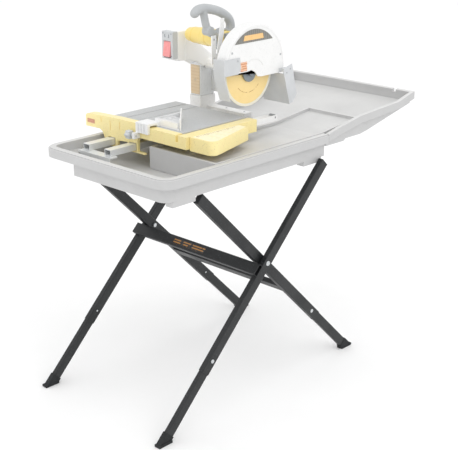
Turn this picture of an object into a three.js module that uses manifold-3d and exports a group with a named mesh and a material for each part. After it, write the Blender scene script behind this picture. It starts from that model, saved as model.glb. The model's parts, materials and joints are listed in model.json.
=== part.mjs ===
// A wet masonry saw on a folding stand. Millimetres; X to the operator's right, Y from the operator's end
// to the rear, Z up.
import * as THREE from "three";
import { mergeVertices } from "three/addons/utils/BufferGeometryUtils.js";
import Module from "manifold-3d";

const wasm = await Module();
wasm.setup();

// General fits
const GAP = 0.3; // between pieces that touch
const RUN = 0.1; // radial clearance of a turning pin
const DEG = Math.PI / 180;

// Folding stand
const STAND_HALF = 334; // outer face of the outer legs
const TUBE_X = 22; // leg tube across the stand
const TUBE_B = 40; // leg tube in the folding plane
const TUBE_WALL = 1.6;
const SIDE_GAP = 3; // between the outer and inner legs
const PIVOT_Z = 538;
const LEG_BELOW = 468; // tube below the pivot
const LEG_BOLT = 417; // adjusting bolt below the pivot
const LEG_OVERLAP = 118; // lower leg inside the tube
const LEG_TRAVEL = 60;
const FOOT_HEIGHT = 10;
const FOOT_LENGTH = 63;
const FOOT_WIDTH = 27;
const BOLT_R = 5;
const DOME = 5; // height of a bolt's domed head
const LEG_BOLT_R = 4;
const CAP_THICK = 3;
const BAR_LONG = 45; // crossbar along the leg
const BAR_THICK = 20;
const BAR_START = 24; // front crossbar below the pivot
const REAR_BAR_START = 173;

// Water tub
const TUB_HALF = STAND_HALF - 4; // the tub is as wide as its stand
const TUB_FRONT = -502;
const TUB_REAR = 345;
const RIM_TOP = 963;
const RIM_HEIGHT = 35;
const RIM_BAND = 28;
const TUB_BODY_HALF = TUB_HALF - 21;
const TUB_BODY_FRONT = -478;
const TUB_BOTTOM = 875;
const TUB_SEAT = 0.42; // between the leg tops and the tub
const LEG_TOP = (TUB_BOTTOM - TUB_SEAT - PIVOT_Z) * Math.SQRT2;
const LEG_ABOVE = LEG_TOP - TUBE_B / 2 - CAP_THICK; // tube above the pivot
const TUB_WALL = 5;
const TUB_CORNER = 58;
const TUB_CUT = 130; // slanted front left corner of the body
const TUB_FEET_Z = 857;
const TUB_FOOT_WIDTH = 34;
const TUB_RETURN = 933; // low part of the rear wall, where water runs back
const RAIL_BASE_RIGHT = -68;

// Rear tray
const TRAY_END = 905;
const TRAY_HALF = TUB_HALF;
const TRAY_IN = TRAY_HALF - 19;
const TRAY_BACK = 14; // thickness of the rear wall with its lip

// Side tray
const SIDE_LEFT = -36;
const SIDE_FRONT = -240;
const SIDE_FLOOR = 953;
const SIDE_LIP = 965;
const SIDE_BEND = 341;
const SIDE_END = 560;
const SIDE_RISE = 24;
const SIDE_RIGHT = TUB_HALF - 29;
const SIDE_RIM = 12;
const SIDE_JOG = 150; // where the left edge turns inwards
const SIDE_WAIST = 50;

// Rails
const RAIL_X = [-234, -115];
const RAIL_WIDE = 34;
const RAIL_BOTTOM = 939;
const RAIL_TOP = 963;
const RAIL_FRONT = -372;
const BRACKET_LEAD = 16; // front bracket ahead of the rails
const BASE_FRONT = 301;

// Cart
const TABLE_TOP = 1035;
const TABLE_LEFT = -270;
const TABLE_REAR = 117;
const TABLE_FRONT = -215.7;
const MAT_THICK = 5;
const CART_BOTTOM = 988;
const CART_WALL = 6;
const BLADE_X = 120;
const SLOT_HALF = 6;
const BEAM_RIGHT = 168;
const ROLLER_R = 11.5;
const ROLLER_REACH = 104;
const BAR_FRONT = -250;
const BAR_REAR = -216;
const BAR_LEFT = -383;
const BAR_STEP = -90; // where the tall left part ends
const BAR_TALL = 1042;
const NOTCH_Z = 1010;
const LEG_FOOT_Z = 930;
const LEG_THICK = 12;
const WINDOW_FIT = 3;
const EXT_RIGHT = 281;
const EXT_FRONT = -234;
const EXT_REAR = 15;
const EXT_TAPER = 62;
const EXT_BOTTOM = 984;
const KNOB_Z = 1001;

// Column and head
const COLUMN_LEFT = -333;
const COLUMN_RIGHT = -274;
const COLUMN_FRONT = 262;
const COLUMN_REAR = 339;
const COLUMN_FOOT = 1031;
const COLUMN_TOP = 1168;
const HINGE_Y = 300;
const HINGE_Z = 1163;
const HINGE_R = 8;
const CHEEK = 14.7; // plates of the arm beside the column
const BOX_LEFT = -325;
const BOX_RIGHT = -264;
const BOX_DEPTH = 26;
const BOX_BOTTOM = 1204;
const TUBE_R = 20; // cross tube on the hinge line
const GUSSET_Z = 1044;
const GUSSET_RIGHT = -215;
const ARM_FRONT = 127;
const ARM_REAR = 222; // where the solid front of the arm ends
const ARM_LOW = 1194;
const ARM_HIGH = 1311;
const CASE_LOW = 1188;
const CASE_LEFT = -22;
const CASE_FRONT = 138;
const CASE_HIGH = 1330;
const BOSS_R = 26; // round the spindle
const FIN_THICK = 4;
const GUARD_LEFT = 98;
const GUARD_RIGHT = 150;
const GUARD_WALL = 3.5;
const GUARD_R = 160;
const GUARD_Y = 127;
const GUARD_Z = 1228;
const BADGE_Y = 117.5;
const BADGE_Z = 1322;
const BADGE_HALF = 102;
const BADGE_RISE = 46;
const BLADE_Y = 120;
const BLADE_Z = 1205;
const BLADE_R = 127;
const BLADE_THICK = 2.6;
const FLANGE_R = 35;
const FLANGE_THICK = 7;
const SPINDLE_R = 8;
const FLAP_BOTTOM = 1119;
const MOTOR_Y = 165;
const MOTOR_Z = 1301;
const MOTOR_R = 34;
const MOTOR_LEFT = -244;
const HANDLE_X = -60;
const GRIP_R = 18;

// Centre of the whole object in plan, which becomes the origin
const FOOT_Y = PIVOT_Z + FOOT_LENGTH / 2 - 5;
const CENTRE_X = (BAR_LEFT + STAND_HALF + GAP + DOME) / 2;
const CENTRE_Y = (TRAY_END - FOOT_Y) / 2;

// ---------- solids ----------

// Turns a closed three.js geometry into a solid for cutting and joining.
function solid(geometry) {
  const bare = geometry.index ? geometry.toNonIndexed() : geometry;
  bare.deleteAttribute("normal");
  bare.deleteAttribute("uv");
  const merged = mergeVertices(bare, 1e-4);
  const mesh = new wasm.Mesh({
    numProp: 3,
    vertProperties: new Float32Array(merged.attributes.position.array),
    triVerts: new Uint32Array(merged.index.array),
  });
  mesh.merge();
  return new wasm.Manifold(mesh);
}

function block(x0, x1, y0, y1, z0, z1) {
  const geometry = new THREE.BoxGeometry(x1 - x0, y1 - y0, z1 - z0);
  geometry.translate((x0 + x1) / 2, (y0 + y1) / 2, (z0 + z1) / 2);
  return solid(geometry);
}

function extrude(points, depth) {
  const shape = new THREE.Shape(points.map(([u, v]) => new THREE.Vector2(u, v)));
  return new THREE.ExtrudeGeometry(shape, { depth, bevelEnabled: false });
}

// A prism along X from points given as (y, z).
function prismX(points, x0, x1) {
  const geometry = extrude(points, x1 - x0);
  geometry.applyMatrix4(new THREE.Matrix4().set(0, 0, 1, x0, 1, 0, 0, 0, 0, 1, 0, 0, 0, 0, 0, 1));
  return solid(geometry);
}

// A prism along Y from points given as (x, z).
function prismY(points, y0, y1) {
  const geometry = extrude(points, y1 - y0);
  geometry.rotateX(Math.PI / 2);
  geometry.translate(0, y1, 0);
  return solid(geometry);
}

// A prism along Z from points given as (x, y).
function prismZ(points, z0, z1) {
  const geometry = extrude(points, z1 - z0);
  geometry.translate(0, 0, z0);
  return solid(geometry);
}

function rodX(y, z, radius, x0, x1, sides = 24) {
  const geometry = new THREE.CylinderGeometry(radius, radius, x1 - x0, sides);
  geometry.rotateZ(Math.PI / 2);
  geometry.translate((x0 + x1) / 2, y, z);
  return solid(geometry);
}

// A shape turned about an axis along X, from a profile of (x, radius).
function turnedX(y, z, profile, sides = 32) {
  const rising = profile[0][0] < profile[profile.length - 1][0];
  const ordered = rising ? [...profile].reverse() : profile;
  const geometry = new THREE.LatheGeometry(
    ordered.map(([x, radius]) => new THREE.Vector2(radius, -x)),
    sides,
  );
  geometry.rotateZ(Math.PI / 2);
  geometry.translate(0, y, z);
  return solid(geometry);
}

// A low dome on an X axis, flat side at x, pointing along +X or -X.
function domeX(y, z, radius, x, height, toward) {
  const profile = [];
  const steps = 4;
  for (let i = 0; i <= steps; i += 1) {
    const t = (i / steps) * 90 * DEG;
    profile.push([x + toward * height * Math.sin(t), i === steps ? 0 : radius * Math.cos(t)]);
  }
  profile.unshift([x, 0]);
  return turnedX(y, z, profile, 20);
}

// A rounded bar swept along points in a plane x = constant.
function sweptX(x, path, radius, sides = 12) {
  const curve = new THREE.CatmullRomCurve3(
    path.map(([y, z]) => new THREE.Vector3(x, y, z)),
    false,
    "centripetal",
  );
  const ring = [];
  for (let i = 0; i < sides; i += 1) {
    ring.push(new THREE.Vector2(
      radius * Math.cos((i / sides) * 2 * Math.PI),
      radius * Math.sin((i / sides) * 2 * Math.PI),
    ));
  }
  const geometry = new THREE.ExtrudeGeometry(
    new THREE.Shape(ring),
    { steps: path.length * 4, extrudePath: curve, bevelEnabled: false },
  );
  return solid(geometry);
}

// Corner points of a rectangle in plan, with rounded corners of the given radii (front left, front right,
// rear right, rear left).
function roundedPlan(x0, x1, y0, y1, radii, steps = 6) {
  const corners = [
    [x0, y0, 180, radii[0]],
    [x1, y0, 270, radii[1]],
    [x1, y1, 0, radii[2]],
    [x0, y1, 90, radii[3]],
  ];
  const points = [];
  for (const [x, y, start, radius] of corners) {
    if (radius <= 0) {
      points.push([x, y]);
      continue;
    }
    const cx = x + (x === x0 ? radius : -radius);
    const cy = y + (y === y0 ? radius : -radius);
    for (let i = 0; i <= steps; i += 1) {
      const a = (start + (90 * i) / steps) * DEG;
      points.push([cx + radius * Math.cos(a), cy + radius * Math.sin(a)]);
    }
  }
  return points;
}

function arc(cy, cz, radius, from, to, steps) {
  const points = [];
  for (let i = 0; i <= steps; i += 1) {
    const a = (from + ((to - from) * i) / steps) * DEG;
    points.push([cy + radius * Math.cos(a), cz + radius * Math.sin(a)]);
  }
  return points;
}

// ---------- the assembly ----------

const group = new THREE.Group();
group.name = "masonry_saw";

function add(name, made, colour, roughness = 0.6, metalness = 0) {
  const data = made.getMesh();
  const geometry = new THREE.BufferGeometry();
  geometry.setAttribute("position", new THREE.BufferAttribute(new Float32Array(data.vertProperties), 3));
  geometry.setIndex(new THREE.BufferAttribute(new Uint32Array(data.triVerts), 1));
  geometry.translate(-CENTRE_X, -CENTRE_Y, 0);
  const flat = geometry.toNonIndexed();
  flat.computeVertexNormals();
  const mesh = new THREE.Mesh(
    flat,
    new THREE.MeshStandardMaterial({ color: colour, roughness, metalness }),
  );
  mesh.name = name;
  group.add(mesh);
}

const BLACK = 0x24282a;
const SILVER = 0xc9ccce;
const GREY = 0xc4c4c4;
const YELLOW = 0xffe9a0;
const WHITE = 0xf2f2f2;
const RUBBER = 0xb2b4b6;

// ---------- stand ----------

// Maps a point (along, normal) of a leg to (y, z). toFront is -1 for the legs with their feet at the front,
// 1 for the others.
// along is measured down the leg from the pivot; normal points away from the leg on its upper side below
// the pivot.
function onLeg(toFront, along, normal) {
  const c = Math.SQRT1_2;
  return [toFront * (along * c + normal * c), PIVOT_Z - along * c + normal * c];
}

function legPrism(toFront, a0, a1, n0, n1, x0, x1) {
  const points = [
    onLeg(toFront, a0, n0), onLeg(toFront, a1, n0), onLeg(toFront, a1, n1), onLeg(toFront, a0, n1),
  ];
  return prismX(toFront > 0 ? points : points.reverse(), x0, x1);
}

function legTube(toFront, x0, holeR) {
  const x1 = x0 + TUBE_X;
  const h = TUBE_B / 2;
  const outer = legPrism(toFront, -LEG_ABOVE, LEG_BELOW, -h, h, x0, x1);
  const inner = legPrism(
    toFront, -LEG_ABOVE - 1, LEG_BELOW + 1, -h + TUBE_WALL, h - TUBE_WALL, x0 + TUBE_WALL, x1 - TUBE_WALL,
  );
  const [by, bz] = onLeg(toFront, LEG_BOLT, 0);
  return outer.subtract(inner)
    .subtract(rodX(0, PIVOT_Z, holeR, x0 - 1, x1 + 1))
    .subtract(rodX(by, bz, LEG_BOLT_R + GAP, x0 - 1, x1 + 1, 16));
}

function lowerLeg(toFront, centreX) {
  const halfX = TUBE_X / 2 - TUBE_WALL - GAP;
  const halfB = TUBE_B / 2 - TUBE_WALL - GAP;
  const start = LEG_BELOW - LEG_OVERLAP;
  const end = PIVOT_Z * Math.SQRT2 + TUBE_B;
  const outer = legPrism(toFront, start, end, -halfB, halfB, centreX - halfX, centreX + halfX);
  const inner = legPrism(
    toFront, start - 1, end + 1, -halfB + 2, halfB - 2, centreX - halfX + 2, centreX + halfX - 2,
  );
  const slot = legPrism(
    toFront,
    LEG_BOLT - LEG_TRAVEL - LEG_BOLT_R - GAP,
    LEG_BOLT + LEG_BOLT_R + GAP,
    -LEG_BOLT_R - GAP,
    LEG_BOLT_R + GAP,
    centreX - TUBE_X,
    centreX + TUBE_X,
  );
  const floor = block(centreX - 50, centreX + 50, -2000, 2000, -200, FOOT_HEIGHT + GAP);
  return outer.subtract(inner).subtract(slot).subtract(floor);
}

function foot(toFront, centreX, shift) {
  const halfX = TUBE_X / 2 - TUBE_WALL;
  const halfB = TUBE_B / 2 - TUBE_WALL;
  const [fy] = onLeg(toFront, PIVOT_Z * Math.SQRT2, 0);
  const x0 = centreX + shift - FOOT_WIDTH / 2;
  const x1 = centreX + shift + FOOT_WIDTH / 2;
  const heel = fy - (toFront * FOOT_LENGTH) / 2 - toFront * 5;
  const toe = heel + toFront * FOOT_LENGTH;
  const plate = block(x0, x1, Math.min(heel, toe), Math.max(heel, toe), 0, FOOT_HEIGHT);
  const reach = PIVOT_Z * Math.SQRT2;
  const collar = legPrism(
    toFront, reach - 44, reach + 10, -halfB - 2.2, halfB + 2.2, centreX - halfX - 1.4,
    centreX + halfX + 1.4,
  );
  const clipped = collar.intersect(block(x0, x1, -2000, 2000, 2, 60));
  const socket = legPrism(toFront, reach - 90, reach + 60, -halfB, halfB, centreX - halfX, centreX + halfX)
    .intersect(block(-500, 500, -2000, 2000, FOOT_HEIGHT, 200));
  return plate.add(clipped).subtract(socket);
}

const OUT_X = STAND_HALF - TUBE_X;
const IN_X = OUT_X - SIDE_GAP - TUBE_X;

function buildStand() {
  const sides = [["left", -1], ["right", 1]];
  const half = TUBE_B / 2;
  for (const [side, sign] of sides) {
    for (const [frame, toFront, near] of [["outer", -1, OUT_X], ["inner", 1, IN_X]]) {
      const x0 = sign > 0 ? near : -near - TUBE_X;
      const centre = x0 + TUBE_X / 2;
      const end = toFront < 0 ? "front" : "rear";
      const hole = BOLT_R + (frame === "inner" ? RUN : GAP);
      add(`${frame}_leg_${side}`, legTube(toFront, x0, hole), BLACK, 0.5, 0.4);
      add(`lower_leg_${end}_${side}`, lowerLeg(toFront, centre), BLACK, 0.5, 0.4);
      const shift = frame === "outer" ? 1.5 : -1.5;
      add(`foot_${end}_${side}`, foot(toFront, centre, sign * shift), 0x1c1e20, 0.85);
      const plug = legPrism(
        toFront,
        -LEG_ABOVE - CAP_THICK,
        -LEG_ABOVE - GAP,
        -half,
        half,
        x0,
        x0 + TUBE_X,
      );
      const stem = legPrism(
        toFront,
        -LEG_ABOVE - CAP_THICK / 2,
        -LEG_ABOVE + 12,
        -half + TUBE_WALL + GAP,
        half - TUBE_WALL - GAP,
        x0 + TUBE_WALL + GAP,
        x0 + TUBE_X - TUBE_WALL - GAP,
      );
      add(`leg_cap_${frame}_${side}`, plug.add(stem), 0x1c1e20, 0.85);
      const [by, bz] = onLeg(toFront, LEG_BOLT, 0);
      const face = sign > 0 ? x0 + TUBE_X : x0;
      const back = sign > 0 ? x0 + GAP : x0 + TUBE_X - GAP;
      const tall = frame === "outer" ? 5 : 2.2;
      const head = domeX(by, bz, 8, face + sign * GAP, tall, sign);
      const shank = rodX(
        by,
        bz,
        LEG_BOLT_R,
        Math.min(face + sign * (GAP + 1), back),
        Math.max(face + sign * (GAP + 1), back),
        16,
      );
      add(`leg_bolt_${frame}_${side}`, head.add(shank), SILVER, 0.3, 0.9);
    }
    const outerFace = sign * (STAND_HALF + GAP);
    const innerEnd = sign * (IN_X - 6);
    const pin = rodX(
      0,
      PIVOT_Z,
      BOLT_R,
      Math.min(outerFace + sign, innerEnd),
      Math.max(outerFace + sign, innerEnd),
    );
    const nut = rodX(
      0,
      PIVOT_Z,
      9,
      Math.min(sign * (IN_X - 6), sign * (IN_X - GAP)),
      Math.max(sign * (IN_X - 6), sign * (IN_X - GAP)),
      6,
    );
    add(
      `pivot_bolt_${side}`,
      domeX(0, PIVOT_Z, 10, outerFace, 5, sign).add(pin).add(nut),
      SILVER,
      0.3,
      0.9,
    );
  }
  const wide = STAND_HALF + 2;
  const bar = legPrism(
    -1,
    BAR_START,
    BAR_START + BAR_LONG,
    half + GAP,
    half + GAP + BAR_THICK,
    -wide,
    wide,
  );
  const hollow = legPrism(
    -1,
    BAR_START + 2,
    BAR_START + BAR_LONG - 2,
    half + GAP + 2,
    half + GAP + BAR_THICK - 2,
    -wide - 1,
    wide + 1,
  );
  add("front_crossbar", bar.subtract(hollow), BLACK, 0.5, 0.4);
  const rearHalf = IN_X - GAP;
  const rear = legPrism(
    1,
    REAR_BAR_START,
    REAR_BAR_START + BAR_LONG,
    -half,
    -half + BAR_THICK,
    -rearHalf,
    rearHalf,
  );
  const rearHollow = legPrism(
    1,
    REAR_BAR_START + 2,
    REAR_BAR_START + BAR_LONG - 2,
    -half + 2,
    -half + BAR_THICK - 2,
    -rearHalf - 1,
    rearHalf + 1,
  );
  add("rear_crossbar", rear.subtract(rearHollow), BLACK, 0.5, 0.4);
}

// ---------- tub and trays ----------

function buildTub() {
  const corner = TUB_CORNER;
  const lip = prismZ(
    roundedPlan(-TUB_HALF, TUB_HALF, TUB_FRONT, TUB_REAR, [corner, corner, 0, 0]),
    RIM_TOP - RIM_HEIGHT,
    RIM_TOP - 4,
  );
  const crown = prismZ(
    roundedPlan(-TUB_HALF + 5, TUB_HALF - 5, TUB_FRONT + 5, TUB_REAR, [corner - 5, corner - 5, 0, 0]),
    RIM_TOP - 5,
    RIM_TOP,
  );
  const half = TUB_BODY_HALF;
  const right = roundedPlan(-half, half, TUB_BODY_FRONT, TUB_REAR, [0, 45, 0, 0]);
  const plan = [[-half, TUB_BODY_FRONT + TUB_CUT], [-half + TUB_CUT, TUB_BODY_FRONT], ...right.slice(1)];
  const body = prismZ(plan, TUB_BOTTOM, RIM_TOP - RIM_HEIGHT + 1);
  let tub = lip.add(crown).add(body);
  for (const [y0, y1] of [[-452, -344], [224, 328]]) {
    for (const sign of [-1, 1]) {
      const inner = half - TUB_FOOT_WIDTH;
      const cut = y0 < 0 && sign < 0 ? -half + TUB_CUT : 0;
      const x0 = sign < 0 ? -half : inner;
      const x1 = sign < 0 ? -inner : half;
      const leg = block(x0, x1, y0, y1, TUB_FEET_Z, TUB_BOTTOM + 1);
      tub = tub.add(cut ? leg.intersect(prismZ(plan, TUB_FEET_Z, TUB_BOTTOM + 1)) : leg);
    }
  }
  const wall = TUB_WALL;
  const inCorner = corner - RIM_BAND;
  const mouth = prismZ(
    roundedPlan(
      -TUB_HALF + RIM_BAND,
      TUB_HALF - RIM_BAND,
      TUB_FRONT + RIM_BAND + 2,
      TUB_REAR - 18,
      [inCorner, inCorner, 0, 0],
    ),
    TUB_BOTTOM + wall,
    RIM_TOP + 1,
  );
  const keep = prismZ(
    plan.map(([x, y]) => [x * (1 - wall / half), y < 0 ? y + wall : y]),
    TUB_BOTTOM + wall,
    RIM_TOP - RIM_HEIGHT + 2,
  );
  const upper = mouth.intersect(block(-400, 400, -600, 400, RIM_TOP - RIM_HEIGHT + 1, RIM_TOP + 2));
  tub = tub.subtract(mouth.intersect(keep)).subtract(upper);
  const back = block(
    RAIL_BASE_RIGHT + 8, TUB_HALF - RIM_BAND, TUB_REAR - 40, TUB_REAR + 1, TUB_RETURN, RIM_TOP + 1,
  );
  tub = tub.subtract(back);
  add("water_tub", tub, GREY, 0.75);
}

function buildRearTray() {
  const y0 = TUB_REAR + 1.3;
  const under = [[y0, 913], [456, 913], [468, 921], [560, 921], [600, 927], [TRAY_END - 12, 990]];
  const rim = [[TRAY_END - 12, 1036], [800, 1014], [548, 1000], [411, 977], [y0, RIM_TOP]];
  const body = prismX([...under, ...rim], -TRAY_IN - 5, TRAY_IN + 5);
  const band = [[TRAY_END, 1040], ...rim.slice(1)];
  const low = [...band].reverse().map(([y, z]) => [y, z - 32]);
  const lip = prismX([...low, ...band], -TRAY_HALF, TRAY_HALF);
  const rearIn = TRAY_END - TRAY_BACK;
  const cavity = [
    [y0 - 5, 929], [558, 929], [598, 935], [rearIn - 10, 996], [rearIn, 1002], [rearIn, 1100],
    [y0 - 5, 1100],
  ];
  const hollow = prismX(cavity, -TRAY_IN, TRAY_IN);
  const belly = prismX(
    [[y0 + 5, 900], [y0 + 5, 925], [558, 925], [598, 931], [rearIn - 16, 989], [rearIn - 16, 900]],
    -TRAY_IN + 12,
    TRAY_IN - 12,
  );
  const notch = block(228, 242, TRAY_END - 40, TRAY_END + 5, 1026, 1100);
  add("rear_tray", body.add(lip).subtract(hollow).subtract(belly).subtract(notch), GREY, 0.75);
}

function buildSideTray() {
  const slope = (y) => (y > SIDE_BEND ? ((y - SIDE_BEND) * SIDE_RISE) / (SIDE_END - SIDE_BEND) : 0);
  const ys = [SIDE_FRONT, SIDE_BEND, SIDE_END];
  const top = ys.map((y) => [y, SIDE_LIP + slope(y)]).reverse();
  const bottom = ys.map((y) => [y, SIDE_FLOOR - 4 + slope(y)]);
  const slab = prismX([...bottom, ...top], SIDE_LEFT, SIDE_RIGHT);
  const jog = [
    [SIDE_LEFT - 1, SIDE_JOG], [SIDE_WAIST, SIDE_JOG + SIDE_WAIST - SIDE_LEFT], [SIDE_WAIST, SIDE_END + 1],
    [SIDE_LEFT - 1, SIDE_END + 1],
  ];
  const rim = SIDE_RIM;
  const inFront = SIDE_FRONT + rim;
  const inRear = SIDE_END - rim;
  const recess = [
    [inFront, SIDE_FLOOR], [SIDE_BEND, SIDE_FLOOR], [inRear, SIDE_FLOOR + slope(inRear)], [inRear, 1100],
    [inFront, 1100],
  ];
  const turn = rim * 0.41; // the rim stays as wide round the slanted part
  const plan = [
    [SIDE_LEFT + rim, inFront], [SIDE_RIGHT - rim * 0.6, inFront], [SIDE_RIGHT - rim * 0.6, inRear],
    [SIDE_WAIST + rim, inRear],
    [SIDE_WAIST + rim, SIDE_JOG + SIDE_WAIST - SIDE_LEFT - turn], [SIDE_LEFT + rim, SIDE_JOG - turn],
  ];
  const dish = prismX(recess, SIDE_LEFT, SIDE_RIGHT).intersect(prismZ(plan, SIDE_FLOOR - 1, 1100));
  const skirt = block(
    SIDE_LEFT,
    SIDE_RIGHT - rim,
    SIDE_FRONT,
    SIDE_FRONT + 4,
    TUB_BOTTOM + TUB_WALL + GAP,
    SIDE_FLOOR,
  );
  const side = block(
    SIDE_LEFT,
    SIDE_LEFT + 4,
    SIDE_FRONT,
    SIDE_JOG - 4,
    TUB_BOTTOM + TUB_WALL + GAP,
    SIDE_FLOOR,
  );
  add(
    "side_tray",
    slab.subtract(dish).subtract(prismZ(jog, 800, 1100)).add(skirt).add(side),
    0xcfcfcf,
    0.75,
  );
}

// ---------- rails, base and column ----------

function buildRails() {
  const names = ["rail_left", "rail_right"];
  RAIL_X.forEach((x, i) => {
    const rail = block(
      x - RAIL_WIDE / 2, x + RAIL_WIDE / 2, RAIL_FRONT, BASE_FRONT - GAP, RAIL_BOTTOM, RAIL_TOP,
    );
    const bore = block(
      x - RAIL_WIDE / 2 + 3, x + RAIL_WIDE / 2 - 3, RAIL_FRONT - 1, BASE_FRONT, RAIL_BOTTOM + 3,
      RAIL_TOP - 3,
    );
    add(names[i], rail.subtract(bore), SILVER, 0.3, 0.9);
  });
  const x0 = RAIL_X[0] - RAIL_WIDE / 2 - 12;
  const x1 = RAIL_X[1] + RAIL_WIDE / 2 + 12;
  const floor = TUB_BOTTOM + TUB_WALL + GAP;
  const top = RAIL_BOTTOM - GAP;
  const front = RAIL_FRONT - BRACKET_LEAD;
  const strip = block(x0, x1, front, RAIL_FRONT + 22, top - 5, top);
  const plate = block(x0, x1, front, front + 4, floor, top);
  const shelf = block(x0, x1, front, front + 26, floor, floor + 4);
  const arch = block(
    RAIL_X[0] + RAIL_WIDE / 2 + 10,
    RAIL_X[1] - RAIL_WIDE / 2 - 10,
    front - 1,
    front + 5,
    floor + 14,
    top - 14,
  );
  const reach = TUB_CUT + 3 * TUB_WALL;
  const slant = [
    [-TUB_BODY_HALF - 1, TUB_BODY_FRONT - 1], [-TUB_BODY_HALF + reach, TUB_BODY_FRONT - 1],
    [-TUB_BODY_HALF - 1, TUB_BODY_FRONT + reach],
  ];
  const corner = prismZ(slant, TUB_BOTTOM, RIM_TOP - RIM_HEIGHT + 2);
  add("rail_front_bracket", strip.add(plate).add(shelf).subtract(arch).subtract(corner), SILVER, 0.3, 0.9);
}

function buildColumn() {
  const left = COLUMN_LEFT - 2;
  const right = COLUMN_RIGHT + 2;
  const front = COLUMN_FRONT - 4;
  const rear = TUB_REAR;
  const low = RIM_TOP + GAP;
  const plan = [
    [left, front], [right, front], [right, BASE_FRONT], [RAIL_BASE_RIGHT, BASE_FRONT],
    [RAIL_BASE_RIGHT, rear], [left, rear],
  ];
  const plate = prismZ(plan, low, low + 22);
  const riser = block(left, right, front, rear, low + 20, COLUMN_FOOT);
  const holder = block(
    RAIL_X[0] - RAIL_WIDE / 2 - 8,
    RAIL_X[1] + RAIL_WIDE / 2 + 8,
    BASE_FRONT,
    TUB_REAR - 18 - 1,
    RAIL_BOTTOM - 8,
    low + 1,
  );
  const gusset = prismX(
    [[BASE_FRONT + 30, low + 20], [rear, low + 20], [rear, COLUMN_FOOT - 2]],
    left,
    right,
  );
  add("column_base", plate.add(riser).add(holder).add(gusset), 0xdedede, 0.45, 0.3);

  const post = block(
    COLUMN_LEFT, COLUMN_RIGHT, COLUMN_FRONT, COLUMN_REAR, COLUMN_FOOT + GAP, COLUMN_TOP - 8,
  );
  const ear = prismX(
    [
      [COLUMN_FRONT, COLUMN_TOP - 23], [HINGE_Y + 30, COLUMN_TOP - 23],
      ...arc(HINGE_Y, HINGE_Z, 22, 0, 180, 10),
    ],
    COLUMN_LEFT,
    COLUMN_RIGHT,
  );
  const web = prismY(
    [
      [COLUMN_RIGHT - 1, GUSSET_Z], [GUSSET_RIGHT, GUSSET_Z], [GUSSET_RIGHT, GUSSET_Z + 60],
      [COLUMN_RIGHT - 1, HINGE_Z - 26],
    ],
    COLUMN_REAR - 14,
    COLUMN_REAR,
  );
  const hole = rodX(HINGE_Y, HINGE_Z, HINGE_R + RUN, COLUMN_LEFT - 1, COLUMN_RIGHT + 1);
  add("column", post.add(ear).add(web).subtract(hole), 0xb9bcc0, 0.5, 0.3);
  add(
    "column_plate",
    block(
      COLUMN_LEFT + 3, COLUMN_RIGHT - 5, COLUMN_FRONT - 1.8, COLUMN_FRONT - GAP, COLUMN_FOOT + 6,
      COLUMN_TOP - 12,
    ),
    0xe6cfae,
    0.6,
  );
}

// ---------- cart ----------

function buildCart() {
  const topZ = TABLE_TOP - MAT_THICK - GAP;
  const outer = block(TABLE_LEFT, BEAM_RIGHT, TABLE_FRONT, TABLE_REAR, CART_BOTTOM, TABLE_TOP);
  const slotL = BLADE_X - SLOT_HALF;
  const slotR = BLADE_X + SLOT_HALF;
  const bed = block(TABLE_LEFT - 1, slotL + 1, TABLE_FRONT - 1, TABLE_REAR + 1, topZ, TABLE_TOP + 1);
  const under = block(
    TABLE_LEFT + CART_WALL,
    slotL - CART_WALL,
    TABLE_FRONT + CART_WALL,
    TABLE_REAR - CART_WALL,
    CART_BOTTOM - 1,
    topZ - CART_WALL,
  );
  const beam = block(
    slotR + CART_WALL,
    BEAM_RIGHT - CART_WALL,
    TABLE_FRONT + CART_WALL,
    TABLE_REAR - CART_WALL,
    CART_BOTTOM - 1,
    TABLE_TOP - CART_WALL,
  );
  const slot = block(slotL, slotR, TABLE_FRONT + 20, TABLE_REAR + 1, CART_BOTTOM - 1, TABLE_TOP + 1);
  const entry = block(slotL, slotR, TABLE_FRONT - 1, TABLE_FRONT + 21, NOTCH_Z, TABLE_TOP + 1);
  let frame = outer.subtract(bed).subtract(under).subtract(beam).subtract(slot).subtract(entry);
  for (const x of RAIL_X) {
    frame = frame.add(railShoe(x, -92, -62));
  }
  add("cart_frame", frame, YELLOW, 0.5);

  const mat = block(TABLE_LEFT, slotL, TABLE_FRONT, TABLE_REAR, TABLE_TOP - MAT_THICK, TABLE_TOP);
  let ribbed = mat;
  for (const x of [-208, -142]) {
    ribbed = ribbed.subtract(block(
      x - 3, x + 3, TABLE_FRONT - 1, TABLE_REAR + 1, TABLE_TOP - 2.5, TABLE_TOP + 1,
    ));
  }
  add("table_mat", ribbed, RUBBER, 0.85);

  const bracketL = BLADE_X + 14;
  const rollY = TABLE_REAR + ROLLER_REACH;
  const rollZ = TABLE_TOP - ROLLER_R;
  const arm = block(bracketL, BEAM_RIGHT, TABLE_REAR + GAP, rollY + 12, rollZ - 14, rollZ + 8);
  const fork = block(
    bracketL + 6, BEAM_RIGHT - 6, rollY - ROLLER_R - 6, rollY + 20, rollZ - 20, rollZ + 20,
  );
  const pocket = block(
    bracketL + 4, BEAM_RIGHT - 4, TABLE_REAR + 8, rollY - ROLLER_R - 12, rollZ - 20, rollZ + 4,
  );
  const axleHole = rodX(rollY, rollZ, 4 + RUN, BLADE_X, BEAM_RIGHT + 10);
  add("roller_bracket", arm.subtract(fork).subtract(pocket).subtract(axleHole), WHITE, 0.4, 0.2);
  const roller = rodX(rollY, rollZ, ROLLER_R, bracketL + 6 + GAP, BEAM_RIGHT - 6 - GAP, 28);
  add("rear_roller", roller.add(rodX(rollY, rollZ, 4, bracketL + 1, BEAM_RIGHT - 1)), 0x8f9294, 0.7);
}

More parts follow.
